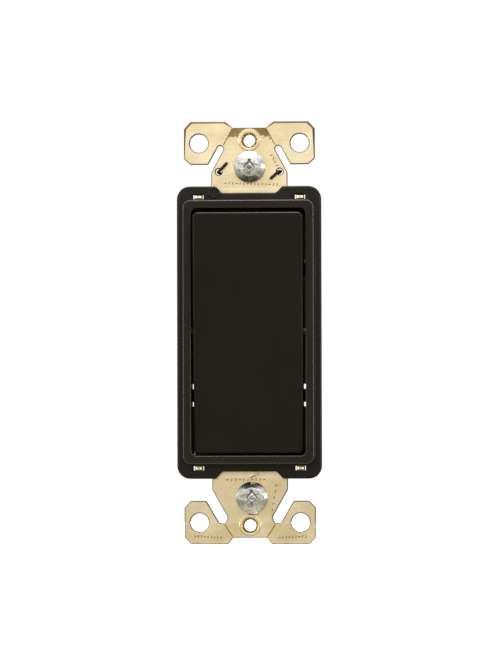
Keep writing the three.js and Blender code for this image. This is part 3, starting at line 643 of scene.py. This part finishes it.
WARM_BLACK = (1.15, 1.0, 0.87)
SURFACES = {
    "plated_strap": plated(
        "yellow_zinc_plate", (0.79, 0.64, 0.385), (0.87, 0.735, 0.48), 0.27,
        brush=(0.35, 1, 1.6), wear_and_highlight=(0.95, 0.86, 0.66), strap=True,
    ),
    "black_frame": moulded_black(
        "frame_plastic", 0.0046, WARM_BLACK, 0.28, grain=0.0015,
        # The ridge band paints a highlight along the insert's front edge.
        ridge=(INSERT_FRONT + 0.005, INSERT_FRONT + 0.3, 0.015, 0.05),
    ),
    # Painted highlight on the paddle's edges.
    "black_paddle": moulded_black("paddle_plastic", 0.0035, WARM_BLACK, 0.24, grain=0.001, wear_and_highlight=0.8),
    "black_housing": moulded_black("housing_plastic", 0.011, (1.03, 1.0, 0.98), 0.5, grain=0.004),
    "zinc_screw": plated(
        "clear_zinc_plate", (0.56, 0.555, 0.53), (0.74, 0.735, 0.705), 0.15,
        wear_and_highlight=(0.8, 0.8, 0.78), grain=0.006, mottle=0.7, recess_shade=0.75,
    ),
    "brass_terminal": plated(
        "terminal_brass", (0.62, 0.41, 0.15), (0.78, 0.56, 0.25), 0.3,
        brush=(1, 0.3, 1), wear_and_highlight=(0.9, 0.74, 0.42),
    ),
    "silver_contact": plated("silver_alloy", (0.75, 0.74, 0.7), (0.88, 0.87, 0.84), 0.25),
    "spring_steel": plated("spring_steel_wire", (0.32, 0.33, 0.35), (0.45, 0.46, 0.48), 0.32),
    "clip_wire": plated(
        "bronzed_wire", (0.022, 0.015, 0.008), (0.05, 0.033, 0.018), 0.5, wear_and_highlight=(0.1, 0.07, 0.04),
    ),
    "green_screw": plated(
        "green_dyed_zinc", (0.02, 0.2, 0.06), (0.05, 0.32, 0.11), 0.3, wear_and_highlight=(0.3, 0.55, 0.35),
    ),
    "white_acetal": acetal(),
    "fibre_washer": fibre(),
}


# ---- strap

def softened(points):
    """The same outline with its sharp corners rounded, as a worn blanking die leaves them."""
    radius, steps = 0.3, 3
    result = []
    for index, here in enumerate(points):
        here = Vector(here)
        before = Vector(points[index - 1]) - here
        after = Vector(points[(index + 1) % len(points)]) - here
        room = min(before.length, after.length) * 0.45
        turn = before.angle(after, math.pi)
        if turn > math.radians(160) or room < 0.05:
            result.append(tuple(here))
            continue
        reach = min(radius / math.tan(turn / 2), room)
        start, end = here + before.normalized() * reach, here + after.normalized() * reach
        for step in range(steps + 1):
            t = step / steps
            point = start * (1 - t) ** 2 + here * 2 * t * (1 - t) + end * t * t
            result.append(tuple(point))
    return result


def strap_outline():
    """The strap's outline, from its half from the top centre down the +X side."""
    half = [
        (0, 51.6), (4.2, 51.6), (6.1, 53.2), (14.8, 53.2), (16.5, 51.4), (16.5, 43.8),
        (14.85, 42.35), (10.4, 42.35),
        *arc((7.3, 46.3), 0.78, 28, 208, 12),
        (9.6, 40.3), (9.6, SHOULDER_Z), (RAIL_HALF, SHOULDER_Z), (RAIL_HALF, -SHOULDER_Z),
        (9.5, -SHOULDER_Z), (9.5, -39.5),
        *arc((7.0, -46.6), 1.3, 150, 330, 14),
        (11.0, -42.3), (14.9, -42.3), (16.5, -44.0), (16.5, -51.6), (14.9, -53.2), (5.5, -53.2),
        (4.2, -51.6), (0, -51.6),
    ]
    other_half = [(-x, z) for x, z in reversed(half[1:-1])]
    return list(reversed(softened(half + other_half)))


def screw_slot(end):
    """The box screw's slot, with a notch at the lower one."""
    steps = 8
    outline = rounded_rectangle(BOX_SLOT_HALF, BOX_SLOT_CORNER, (0, end * BOX_SCREW_Z), steps)
    if end > 0:
        return outline
    lower_left_done = 3 * (steps + 1)
    edge_z = outline[lower_left_done][1]
    notch = [(0, edge_z), (0, NOTCH[1]), NOTCH, (NOTCH[0], edge_z + 0.01)]
    return outline[:lower_left_done] + notch + outline[lower_left_done + 1:]


def strap_collar(end):
    """The dished collar of a wall-plate screw hole and the threaded boss behind it."""
    front = STRAP_FRONT - COLLAR_HEIGHT
    profile = [(THREAD_HOLE, 1.2), (2.25, 1.2), (2.3, 1.1), (2.4, -0.1), (COLLAR_RING, -0.3)]
    profile += [(COLLAR_RING, STRAP_FRONT + 0.02), (COLLAR_RING - 0.05, STRAP_FRONT - 0.1)]
    profile += [(COLLAR_RING - 0.16, front + 0.03), (COLLAR_RING - 0.26, front)]
    profile += [(2.1, front), (2.02, front + 0.06), (1.9, front + 0.25), (1.72, front + 0.6)]
    profile += [(1.6, front + 0.95), (1.56, front + 1.1)]
    first_thread = STRAP_FRONT + 0.9
    for index in range(4):
        y = first_thread + index * 0.38
        profile += [(THREAD_HOLE, y - 0.05), (1.6, y + 0.08), (THREAD_HOLE, y + 0.2)]
    profile.append((THREAD_HOLE, 1.2))
    return turned(profile, (0, 0, end * PLATE_SCREW_Z), 72)


def window_lug(side, end):
    """A bridge lanced up into a corner window of the frame, with a crease in its middle."""
    x, z = side * WINDOW[0], end * WINDOW[1]
    half = ((-1, -2.15), (-0.8, -2.5), (-0.4, -2.6), (-0.3, -2.48))
    rings = []
    for along, front in (*half, *((-along, front) for along, front in reversed(half))):
        section = [(-0.45, -0.1), (-0.45, front + 0.15), (-0.3, front), (0.3, front)]
        section += [(0.45, front + 0.15), (0.45, -0.1)]
        rings.append([(x + along, y, z + across) for across, y in section])
    return [lofted(rings), block((x - 1.0, x + 1.0), (STRAP_FRONT, -0.1), (z - 0.75, z + 0.75), 0.1)]


def ground_tab():
    """The tab bent back from the left rail to carry the ground screw."""
    low, high, inner, outer = -32.45, -23.95, -13.8, -15.1
    outline = rounded_rectangle((5.2, 4.25), 0.9, (5.3, -28.2))
    plate = sheet(outline, [circle((6.2, -28.2), 1.9)], 0, 1.3, 0.12)
    upright = Matrix(((0, 1, 0, outer), (1, 0, 0, 0), (0, 0, 1, 0), (0, 0, 0, 1)))
    bend = block((-16.9, inner), (0.1, 1.4), (low, high), 0.2)
    root = block((-16.85, -15.35), (-0.5, 1.35), (low + 0.05, high - 0.05), 0.2)
    return [placed(plate, upright), bend, root]


def frame_tongue():
    """The tongue lanced from the strap and turned up against the frame's lower edge."""
    section = [(-3.72, 0.26), (-3.82, 0.24), (-3.97, -0.14), (-3.9, -0.18), (-1.2, -0.6), (-1.2, 0.2)]
    blade = lofted([[(x, y, z) for y, z in section] for x in (-1.35, 1.3)])
    return [placed(blade, posed(TONGUE_PLACE, TONGUE_TURN, "Y"))]


def score_lines():
    """The lines the ears break off at, as dents."""
    lines = []
    for x0, z0, x1, z1 in ((4.35, 51.3, 6.5, 47.2), (4.35, -51.3, 6.35, -48.2)):
        lines += [((side * x0, z0), (side * x1, z1), 0.16, 0.2) for side in SIDES]
    return lines


def die_marks():
    """Rows of plain strokes pressed into the strap, as dents."""
    rows = [((-6.0, 37.6), (7.0, 37.2), 15), ((-13.8, -51.15), (-7.3, -51.5), 9)]
    rows += [((7.4, -51.5), (14.0, -51.2), 9), ((-5.6, -37.0), (3.6, -37.0), 10)]
    rows += [((5.6, 44.6), (7.0, 42.0), 4), ((6.6, -38.4), (5.6, -44.6), 5)]
    strokes = []
    for first, last, count in rows:
        first, last = Vector(first), Vector(last)
        for index in range(count):
            middle = first.lerp(last, index / (count - 1))
            half = Vector((0.05, 0.33)) if index % 3 else Vector((0.32, 0.04))
            strokes.append((middle - half, middle + half, 0.1, 0.22))
    return strokes


def ear_roll(point):
    """The die roll is deepest along the tops of the upper ears."""
    return 2.7 if point[1] > 51.0 and abs(point[0]) > 4.3 else 1.0


def make_strap():
    holes = [rounded_rectangle(STRAP_OPENING_HALF, 1.2)]
    for end in SIDES:
        holes.append(screw_slot(end))
        holes.append(circle((0, end * PLATE_SCREW_Z), COLLAR_HOLE, 72))
        for side in SIDES:
            holes.append(circle((side * EAR_HOLE[0], end * EAR_HOLE[1]), EAR_HOLE_RADIUS, 56))
            middle = (side * WINDOW[0], end * WINDOW[1])
            holes.append(rounded_rectangle(LUG_SLOT_HALF, 0.15, middle, 2))
    holes += [circle((side * CLIP_HOLE[0], CLIP_HOLE[1]), CLIP_HOLE_RADIUS, 32) for side in SIDES]
    dents = score_lines() + die_marks()
    shells = [sheet(strap_outline(), holes, STRAP_FRONT, STRAP_REAR, 0.12, 3, ear_roll, dents)]
    for end in SIDES:
        shells.append(strap_collar(end))
        for side in SIDES:
            shells += window_lug(side, end)
    shells += ground_tab() + frame_tongue()
    mesh_piece("strap_plate", shells, "switch_body", "plated_strap", "mounting_strap")


# ---- frame

def ease(value):
    value = min(max(value, 0), 1)
    return value * value * (3 - 2 * value)


def scoop(x, inset, end):
    """How far the flange's edge is scooped in at x, for a box screw's head."""
    return SCOOP_DEPTH[end] * (1 - ease((abs(x) - SCOOP_HALF - inset) / SCOOP_RUN))


def matched_outline(half, radius, scoop_inset=None):
    """A rounded rectangle with the same points on every ring, so that rings can be joined."""
    corner_steps, long_steps = 10, 24
    right = [8.9 - 0.2 * step for step in range(13)] + [5, 2.5]
    across = [*right, 0, *(-x for x in reversed(right))]
    points = []
    for index, (side_x, side_z) in enumerate(QUADRANTS):
        centre = (side_x * (half[0] - radius), side_z * (half[1] - radius))
        points += arc(centre, radius, 90 * index, 90 * (index + 1), corner_steps)
        if index in (0, 2):
            for x in (across if index == 0 else reversed(across)):
                depth = 0 if scoop_inset is None else scoop(x, scoop_inset, side_z)
                points.append((x, side_z * (half[1] - depth)))
        else:
            top = half[1] - radius
            for step in range(1, long_steps):
                z = top * (1 - 2 * step / long_steps)
                points.append((side_x * half[0], z if index == 1 else -z))
    return points


def inset_half(half, inset):
    return (half[0] - inset, half[1] - inset)


def frame_ring():
    """The frame's closed section, swept round as matched rings."""
    def ring(half, corner, inset, y, scoop_inset=None):
        return at_depth(matched_outline(inset_half(half, inset), corner - inset, scoop_inset), y)

    def flange(inset, y):
        return ring(FLANGE_HALF, FLANGE_CORNER, inset, y, inset)

    def insert(inset, y):
        return ring(INSERT_HALF, INSERT_CORNER, inset, y)

    def opening(wall, y):
        return ring(OPENING_HALF, OPENING_CORNER, -wall, y)

    bend = rounding(4)
    rings = [flange(REAR_CHAMFER, FRAME_REAR), flange(0, FRAME_REAR - REAR_CHAMFER)]
    rings += [flange(FLANGE_BEND * u, FLANGE_FRONT + FLANGE_BEND * v) for u, v in bend]
    rings += [insert(-ROOT_BEND * v, FLANGE_FRONT - ROOT_BEND * u) for u, v in bend]
    for u, v in bend:
        rings.append(insert(INSERT_DRAFT + INSERT_BEND * u, INSERT_FRONT + INSERT_BEND * v))
    rings += [opening(OPENING_BEND * v, INSERT_FRONT + OPENING_BEND * u) for u, v in bend]
    rings += [opening(0, SLEEVE_REAR), opening(SLEEVE_WALL, SLEEVE_REAR)]
    rings.append(opening(SLEEVE_WALL, FRAME_REAR))
    return lofted(rings, looped=True)


def snap_leg(side, end):
    """A leg that passes through the strap and hooks onto a rib of the housing."""
    zs = (end * LEG_Z - LEG_HALF, end * LEG_Z + LEG_HALF)
    hook = [(7.2, 13.5), (7.2, 12.35), (7.5, 12.35), (8.6, 13.1), (8.6, 13.5)]
    rings = [[(side * x, y, z) for y, x in hook] for z in zs]
    return [block((side * 13.4, side * 14.9), (LEG_FRONT, LEG_REAR), zs, 0.2), lofted(rings)]


def ledge(side):
    """The inner ledge, in stretches between the slits that let the snap legs flex."""
    half, breaks = LEG_HALF, [-LEDGE_END]
    for z in (-LEG_Z, LEG_Z):
        breaks += [z - half - SLIT, z - half, z + half, z + half + SLIT]
    breaks.append(LEDGE_END)
    xs, ys = (side * 13.2, side * 14.5), (LEG_FRONT, SLEEVE_REAR)
    return [block(xs, ys, breaks[index:index + 2], 0.1) for index in range(0, len(breaks), 2)]


def make_frame():
    cutters = []
    for side in SIDES:
        for end in SIDES:
            middle = (side * WINDOW[0], end * WINDOW[1])
            recess = rounded_rectangle(WINDOW_HALF, 0.2, middle, 3)
            slot = rounded_rectangle(WINDOW_SLOT_HALF, 0.1, middle, 2)
            cutters.append(lofted([at_depth(recess, -6), at_depth(recess, WINDOW_WEB)]))
            cutters.append(lofted([at_depth(slot, -2.5), at_depth(slot, 1)]))
        inner, outer = OPENING_HALF[0] - 0.4, 15.4
        pin = turned([(0, inner), (1.4, inner), (1.4, outer), (0, outer)], segments=32)
        cutters.append(placed(pin, posed(PIVOT, -side * math.pi / 2, "Z")))
        cutters.append(block((side * 14.0, side * outer), (PIVOT[1], -0.9), (-1.4, 1.4), 0.05))
    shells = [carved("frame", frame_ring(), cutters)]
    for side in SIDES:
        shells += ledge(side)
        for end in SIDES:
            shells += snap_leg(side, end)
    boss = [(0, FRAME_REAR), (1.42, FRAME_REAR), (1.5, FRAME_REAR - 0.1), (1.5, -3.62)]
    boss += [(1.44, -3.74), (1.3, -3.8), (1.05, -3.78), (0.98, -3.7), (0, -3.7)]
    shells.append(turned(boss, MARK_BOSS, 48))
    mesh_piece("frame_moulding", shells, "switch_body", "black_frame", "front_frame")


# ---- paddle and actuator

TILTED = posed(PIVOT, TILT, "X")


def paddle_shell():
    edge, corner = 0.4, 1.25
    levels = [(ROCKER_WALL, ROCKER_FACE + ROCKER_WALL + 0.3), (ROCKER_WALL, ROCKER_REAR - 0.1)]
    levels += [(ROCKER_WALL - 0.1, ROCKER_REAR), (0.1, ROCKER_REAR), (0, ROCKER_REAR - 0.1)]
    levels += [(edge * u, ROCKER_FACE + edge * v) for u, v in rounding(6)]
    levels.append((1.2, ROCKER_FACE))
    rings = []
    for inset, y in levels:
        half, radius = inset_half(ROCKER_HALF, inset), max(corner - inset, 0.25)
        rings.append(at_depth(rounded_rectangle(half, radius, steps=10), y))
    return lofted(rings)


def make_paddle():
    ceiling, rib_rear = ROCKER_FACE + ROCKER_WALL, ROCKER_REAR - 0.6
    shells = [paddle_shell()]
    half_x = ROCKER_HALF[0]
    for end in SIDES:
        cross_rib = (-half_x + 1, half_x - 1), (ceiling, rib_rear), (end * 14.4, end * 15.4)
        spine = (-0.6, 0.6), (ceiling, rib_rear), (end * 2, end * 29.2)
        shells += [block(*cross_rib, 0.1), block(*spine, 0.1)]
    for side in SIDES:
        cheek = (side * (half_x - 2.3), side * (half_x - 0.05)), (ceiling, 1.4), (-3.5, 3.5)
        pin = [(0, 12.8), (PIN_RADIUS, 12.8), (PIN_RADIUS, PIN_END - 0.3)]
        pin += [(0.9, PIN_END), (0, PIN_END)]
        sideways = posed((0, 0, 0), -side * math.pi / 2, "Z")
        shells += [block(*cheek, 0.3), placed(turned(pin, segments=32), sideways)]
    stem = block((-STEM_HALF, STEM_HALF), (ceiling, STEM_END), (-STEM_HALF, STEM_HALF), 0.35, 3)
    bore = turned([(0, BORE_START), (BORE_RADIUS, BORE_START), (BORE_RADIUS, 11), (0, 11)])
    shells.append(carved("stem", stem, [bore]))
    mesh_piece("paddle_moulding", shells, "rocker", "black_paddle", "rocker_paddle", TILTED)


def make_plunger():
    profile = [(0, 4.5), (0.6, 4.5), (0.7, 4.6), (0.7, PLUNGER_SHOULDER)]
    profile += [(1.4, PLUNGER_SHOULDER), (1.5, PLUNGER_SHOULDER + 0.1)]
    profile += [(1.5, 9), (1.38, 9.15), (1.38, 9.65), (1.5, 9.8)]
    profile += arc((0, 15.8), 1.5, 0, 90, 10)
    profile[-1] = (0, 17.3)
    shells = [turned(profile, segments=48)]
    mesh_piece("plunger_turned", shells, "plunger", "white_acetal", "plunger", TILTED)


def make_plunger_spring():
    turns, per_turn, wire_radius = 6, 20, 0.22
    low, high = BORE_START + wire_radius + 0.15, PLUNGER_SHOULDER - wire_radius - 0.15
    route = []
    for step in range(turns * per_turn + 1):
        share = step / (turns * per_turn)
        climb = ease((share - 0.08) / 0.84) * 0.35 + share * 0.65
        angle = 2 * math.pi * turns * share
        route.append((1.25 * math.cos(angle), low + (high - low) * climb, 1.25 * math.sin(angle)))
    shells = [swept(route, wire_radius, 10)]
    coil = mesh_piece("plunger_coil", shells, "rocker", "spring_steel", "plunger_spring", TILTED)
    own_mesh(coil)


# ---- screws

def thread(radius, end):
    """A shank with a real helical thread and a run-out point."""
    start, depth, rows_per_turn, segments = THREAD_START, 0.36, 8, 30
    rows = int((end - start) / THREAD_PITCH * rows_per_turn)
    rings = []
    for row in range(rows + 1):
        y = start + (end - start) * row / rows
        taper = min(1, 0.55 + 0.45 * (end - y) / 1.0)
        runout = min(1, (y - start) / 0.9)
        radii = []
        for index in range(segments):
            phase = (y / THREAD_PITCH - index / segments) % 1
            ridge = min(1, 1.3 * (1 - abs(2 * phase - 1)))
            radii.append(taper * (radius - depth * runout * (1 - ridge)))
        rings.append(ring_round(radii, y))
    return lofted(rings)


def domed_head(radius, height):
    """A nearly flat crown, a conical flank and a rounded rim, its underside at y = 0."""
    drop = CROWN_RADIUS * math.tan(HEAD_CROWN) / 2
    shares, steps = (0, 0.12, 0.25, 0.4, 0.55, 0.7, 0.85), 8
    points = [(CROWN_RADIUS * share, drop * share ** 2) for share in shares]
    across, down = CROWN_RADIUS, drop
    bends = ((HEAD_CROWN, HEAD_FLANK, SHOULDER_BEND), (HEAD_FLANK, math.pi / 2, RIM_BEND))
    for first, last, bend in bends:
        for step in range(steps + 1):
            angle = first + (last - first) * step / steps
            u, v = math.sin(angle) - math.sin(first), math.cos(first) - math.cos(angle)
            points.append((across + bend * u, down + bend * v))
        across, down = points[-1]
        if last == HEAD_FLANK:
            across, down = across + FLANK_WIDTH, down + FLANK_WIDTH * math.tan(HEAD_FLANK)
    scale = radius / points[-1][0]
    profile = [(0, -0.02), (radius - 0.15, 0), (radius - 0.02, -0.04)]
    profile += [(r * scale, deep - height) for r, deep in reversed(points)]
    return turned(profile, segments=96)


def recess_cutters(height, slot_half):
    """A straight slot across a diamond socket, with shallow cross wings and a stepped floor."""
    slot = (-slot_half, slot_half), (-height - 1, -height + 0.6), (-SLOT_HALF, SLOT_HALF)
    cutters = [block(*slot, 0.04)]
    flare = [(-SLOT_HALF - 0.62, -0.6), (-SLOT_HALF + 0.02, 0.46)]
    flare += [(-z, y) for z, y in reversed(flare)]
    ends = (0.03 - slot_half, slot_half - 0.03)
    cutters.append(lofted([[(x, y - height, z) for z, y in flare] for x in ends]))
    diamond = [(1.98, -0.7), (1.72, 0.12), (1.38, 0.95)]
    core = [(1.4, -0.7), (1.2, 0.9), (0.95, 1.0), (0.1, 1.45)]
    for wall in (diamond, core):
        rings = []
        for r, depth in wall:
            y = depth - height
            rings.append([(r, y, 0), (0, y, r), (-r, y, 0), (0, y, -r)])
        cutters.append(lofted(rings))
    for end in SIDES:
        wing = [(-0.42, end * 1.0), (0.42, end * 1.0), (0.5, end * 2.1), (-0.5, end * 2.1)]
        deep = [(-0.36, end * 0.9), (0.36, end * 0.9), (0.2, end * 1.75), (-0.2, end * 1.75)]
        rings = [[(x, -height - 0.5, z) for x, z in wing], [(x, -height + 0.75, z) for x, z in deep]]
        cutters.append(lofted(rings))
    return cutters


def make_screw(name, node, slot, matrix, radius, height, length, shank, slot_half):
    """A screw, named as its body is. The matrix puts the head's underside in place."""
    head = carved(name, domed_head(radius, height), recess_cutters(height, slot_half))
    mesh_piece(name, [head, thread(shank, length)], name, slot, node, matrix)


def make_screws():
    for name, (x, z, turn) in BOX_SCREWS.items():
        make_screw(
            f"box_screw_{name}", f"mounting_screw_{name}", "zinc_screw",
            posed((x, HEAD_SEAT_Y, z), math.radians(turn), "Y"),
            radius=3.95, height=1.95, length=25.4, shank=1.7, slot_half=3.15,
        )
    for name, z in SIDE_SCREWS.items():
        make_screw(
            f"side_screw_{name}", f"terminal_screw_{name}", "brass_terminal",
            posed((*SIDE_SCREW_SEAT, z), math.pi / 2, "Z"),
            radius=3.6, height=2.0, length=5.6, shank=1.6, slot_half=2.9,
        )


def make_ground_screw():
    """A hex washer head with a slot."""
    washer = turned([
        (0, 0), (3.62, 0), (3.75, -0.08), (3.76, -0.22), (3.55, -0.55), (3.1, -0.75), (0, -0.8),
    ], segments=72)
    count, sixth = 48, math.pi / 3
    angles = [(2 * math.pi * index / count + sixth / 2) % sixth - sixth / 2 for index in range(count)]
    rings = []
    for scale, y in ((1.0, -0.5), (1.0, -1.6), (0.93, -1.86), (0.86, -1.9)):
        radii = [min(HEX_FLAT / math.cos(angle), HEX_CORNER * scale) for angle in angles]
        rings.append(ring_round(radii, y))
    head = carved("ground", lofted(rings), [block((-4, 4), (-3, -1.1), (-0.5, 0.5), 0.06)])
    shells = [washer, head, thread(1.6, 4.0)]
    matrix = posed(GROUND_SCREW_SEAT, -math.pi / 2, "Z")
    mesh_piece("ground_hex_screw", shells, "ground_screw", "green_screw", "ground_screw", matrix)


# ---- ground clip

def make_ground_clip():
    front, behind = STRAP_FRONT - 0.5, 1.65
    x, z = CLIP_HOLE
    route = smooth_route([
        (-5.7, front, 42.6), (-7.35, front, 40.85), (-x - 0.1, front + 0.4, z - 0.05),
        (-x - 0.1, 0.9, z - 0.1), (-x + 1.0, behind, 40.1), (-2.6, behind, 39.5), (0, behind, 39.4),
        (2.6, behind, 39.5), (x - 1.0, behind, 40.1), (x + 0.1, 0.9, z + 0.1),
        (x + 0.1, front + 0.4, z + 0.05), (7.3, front, 40.4), (5.5, front, 38.8),
    ])
    shells = [swept(route, CLIP_RADIUS, 16)]
    mesh_piece("ground_clip_wire", shells, "switch_body", "clip_wire", "ground_clip")


# ---- housing and inner pieces

# CAD nodes shown with their own shapes, by body, slot and edge radius.
REFINED = {
    ("switch_body", "black_housing", 0.22): ["rear_housing"],
    ("contact_arm", "brass_terminal", 0.12): ["contact_arm"],
    ("contact_arm", "silver_contact", 0.12): ["moving_contact"],
    ("switch_body", "brass_terminal", 0.1): ["common_terminal", "switched_terminal"],
    ("switch_body", "silver_contact", 0.12): ["fixed_contact"],
    ("switch_body", "spring_steel", 0.05): ["push_in_spring_common", "push_in_spring_switched"],
    ("switch_body", "fibre_washer", 0.08): ["screw_retainer_top", "screw_retainer_bottom"],
}


def make_refined_pieces():
    for (body, slot, edge), nodes in REFINED.items():
        for node in nodes:
            refined(node, body, slot, edge)


# ---- stage

CAMERA_DISTANCE = 1.2
CAMERA_AZIMUTH, CAMERA_ELEVATION = math.radians(3.3), math.radians(-1.75)
CAMERA_ROLL = math.radians(0.14)
AIM = Vector((0.1, STRAP_FRONT, -0.25)) * MM
PIXELS_PER_MM, FRAME_HEIGHT = 3.978, 667


def make_camera():
    back = Vector((
        math.sin(CAMERA_AZIMUTH) * math.cos(CAMERA_ELEVATION),
        -math.cos(CAMERA_AZIMUTH) * math.cos(CAMERA_ELEVATION),
        math.sin(CAMERA_ELEVATION),
    ))
    data = bpy.data.cameras.new("camera")
    view_height = FRAME_HEIGHT / PIXELS_PER_MM * MM
    data.sensor_width = 36
    data.lens = data.sensor_width * CAMERA_DISTANCE / view_height
    camera = added("camera", data)
    look = (-back).to_track_quat("-Z", "Y").to_matrix().to_4x4()
    roll = Matrix.Rotation(-CAMERA_ROLL, 4, "Z")
    camera.matrix_world = Matrix.Translation(AIM + back * CAMERA_DISTANCE) @ look @ roll
    bpy.context.scene.camera = camera


def softbox(name, place, size, watts, mirrored):
    """A lamp aimed at the origin, which shiny surfaces show only where it is mirrored."""
    data = bpy.data.lights.new(name, "AREA")
    data.shape, data.size, data.size_y, data.energy = "RECTANGLE", *size, watts
    lamp = added(name, data)
    lamp.location = place
    lamp.visible_glossy = mirrored
    lamp.rotation_mode = "QUATERNION"
    lamp.rotation_quaternion = (-Vector(place)).to_track_quat("-Z", "Y")


def make_world():
    """A light tent: bright from the front and overhead, dim behind and below, white to look at."""
    world = bpy.data.worlds.new("studio")
    bpy.context.scene.world = world
    world.use_nodes = True
    world.node_tree.nodes.clear()
    tent = Nodes(world.node_tree)
    place = tent.node("ShaderNodeTexCoord").outputs["Generated"]
    x, y, z = tent.node("ShaderNodeSeparateXYZ", Vector=place).outputs

    def ramp(value, *ends):
        return tent.spread(value, *ends, interpolation="SMOOTHSTEP")

    horizon = ramp(z, -0.3, 0.2, 0.5, 0.86)
    ceiling = ramp(z, 0.35, 0.8, 0, 0.85)
    ceiling_strip = tent.times(ramp(z, 0.88, 0.94, 0, 18), ramp(y, -0.14, 0, 1, 0))
    ground = ramp(z, -0.75, -0.45, 0.35, 0)
    level_band = tent.times(ramp(z, -0.07, 0.04), ramp(z, 0.12, 0.3, 1, 0))
    side_panels = tent.times(ramp(tent.sum("ABSOLUTE", x), 0.45, 0.7, 0, 12), level_band)
    side_panels = tent.times(side_panels, ramp(y, -0.65, -0.45, 1, 0))
    low_lights = tent.plus(side_panels, tent.plus(ground, ceiling_strip))
    light = tent.plus(tent.plus(horizon, ceiling), low_lights)
    from_behind = ramp(y, -0.15, 0.25, 1, 0.2)
    tint = tent.blend(ramp(z, -0.08, 0.06), (1.0, 0.95, 0.74), (1.0, 0.985, 0.96))
    lit = tent.node("ShaderNodeBackground", Color=tint, Strength=tent.times(light, from_behind))
    backdrop = tent.node("ShaderNodeBackground", Color=(1, 1, 1, 1), Strength=1.02)
    to_camera = tent.node("ShaderNodeLightPath").outputs["Is Camera Ray"]
    chosen = tent.tree.nodes.new("ShaderNodeMixShader")
    for value, socket in zip((to_camera, lit.outputs[0], backdrop.outputs[0]), chosen.inputs):
        tent.feed(value, socket)
    tent.node("ShaderNodeOutputWorld", Surface=chosen.outputs[0])


def make_floor():
    """A pale floor, left out of the reflections so that the metal mirrors only the tent."""
    reach, level = 4.0, CAD_BOX[0].z - 0.03
    corners = [(reach * x, reach * y, level) for x, y in QUADRANTS]
    floor = added("floor", new_mesh("floor", (corners, [(0, 1, 2, 3)])))
    shader = Shader(
        "pale_floor", 0.8, Specular_IOR_Level=0.0, Base_Color=(0.93, 0.93, 0.93, 1),
        Emission_Color=(1, 1, 1, 1), Emission_Strength=0.45,
    )
    floor.data.materials.append(shader.material)
    floor.visible_glossy = False
    floor.visible_diffuse = False


def make_stage():
    make_world()
    softbox("softbox_above", (0.0, -0.4, 0.75), (0.9, 0.5), watts=4, mirrored=False)
    softbox("softbox_front", (0.0, -0.5, 0.25), (0.9, 0.3), watts=0.6, mirrored=True)
    softbox("softbox_behind", (0.9, 0.75, 0.45), (0.7, 0.5), watts=14, mirrored=False)
    bpy.context.scene.view_settings.view_transform = "Standard"
    make_floor()


make_strap()
make_frame()
make_paddle()
make_plunger()
make_plunger_spring()
make_screws()
make_ground_screw()
make_ground_clip()
make_refined_pieces()
make_camera()
make_stage()
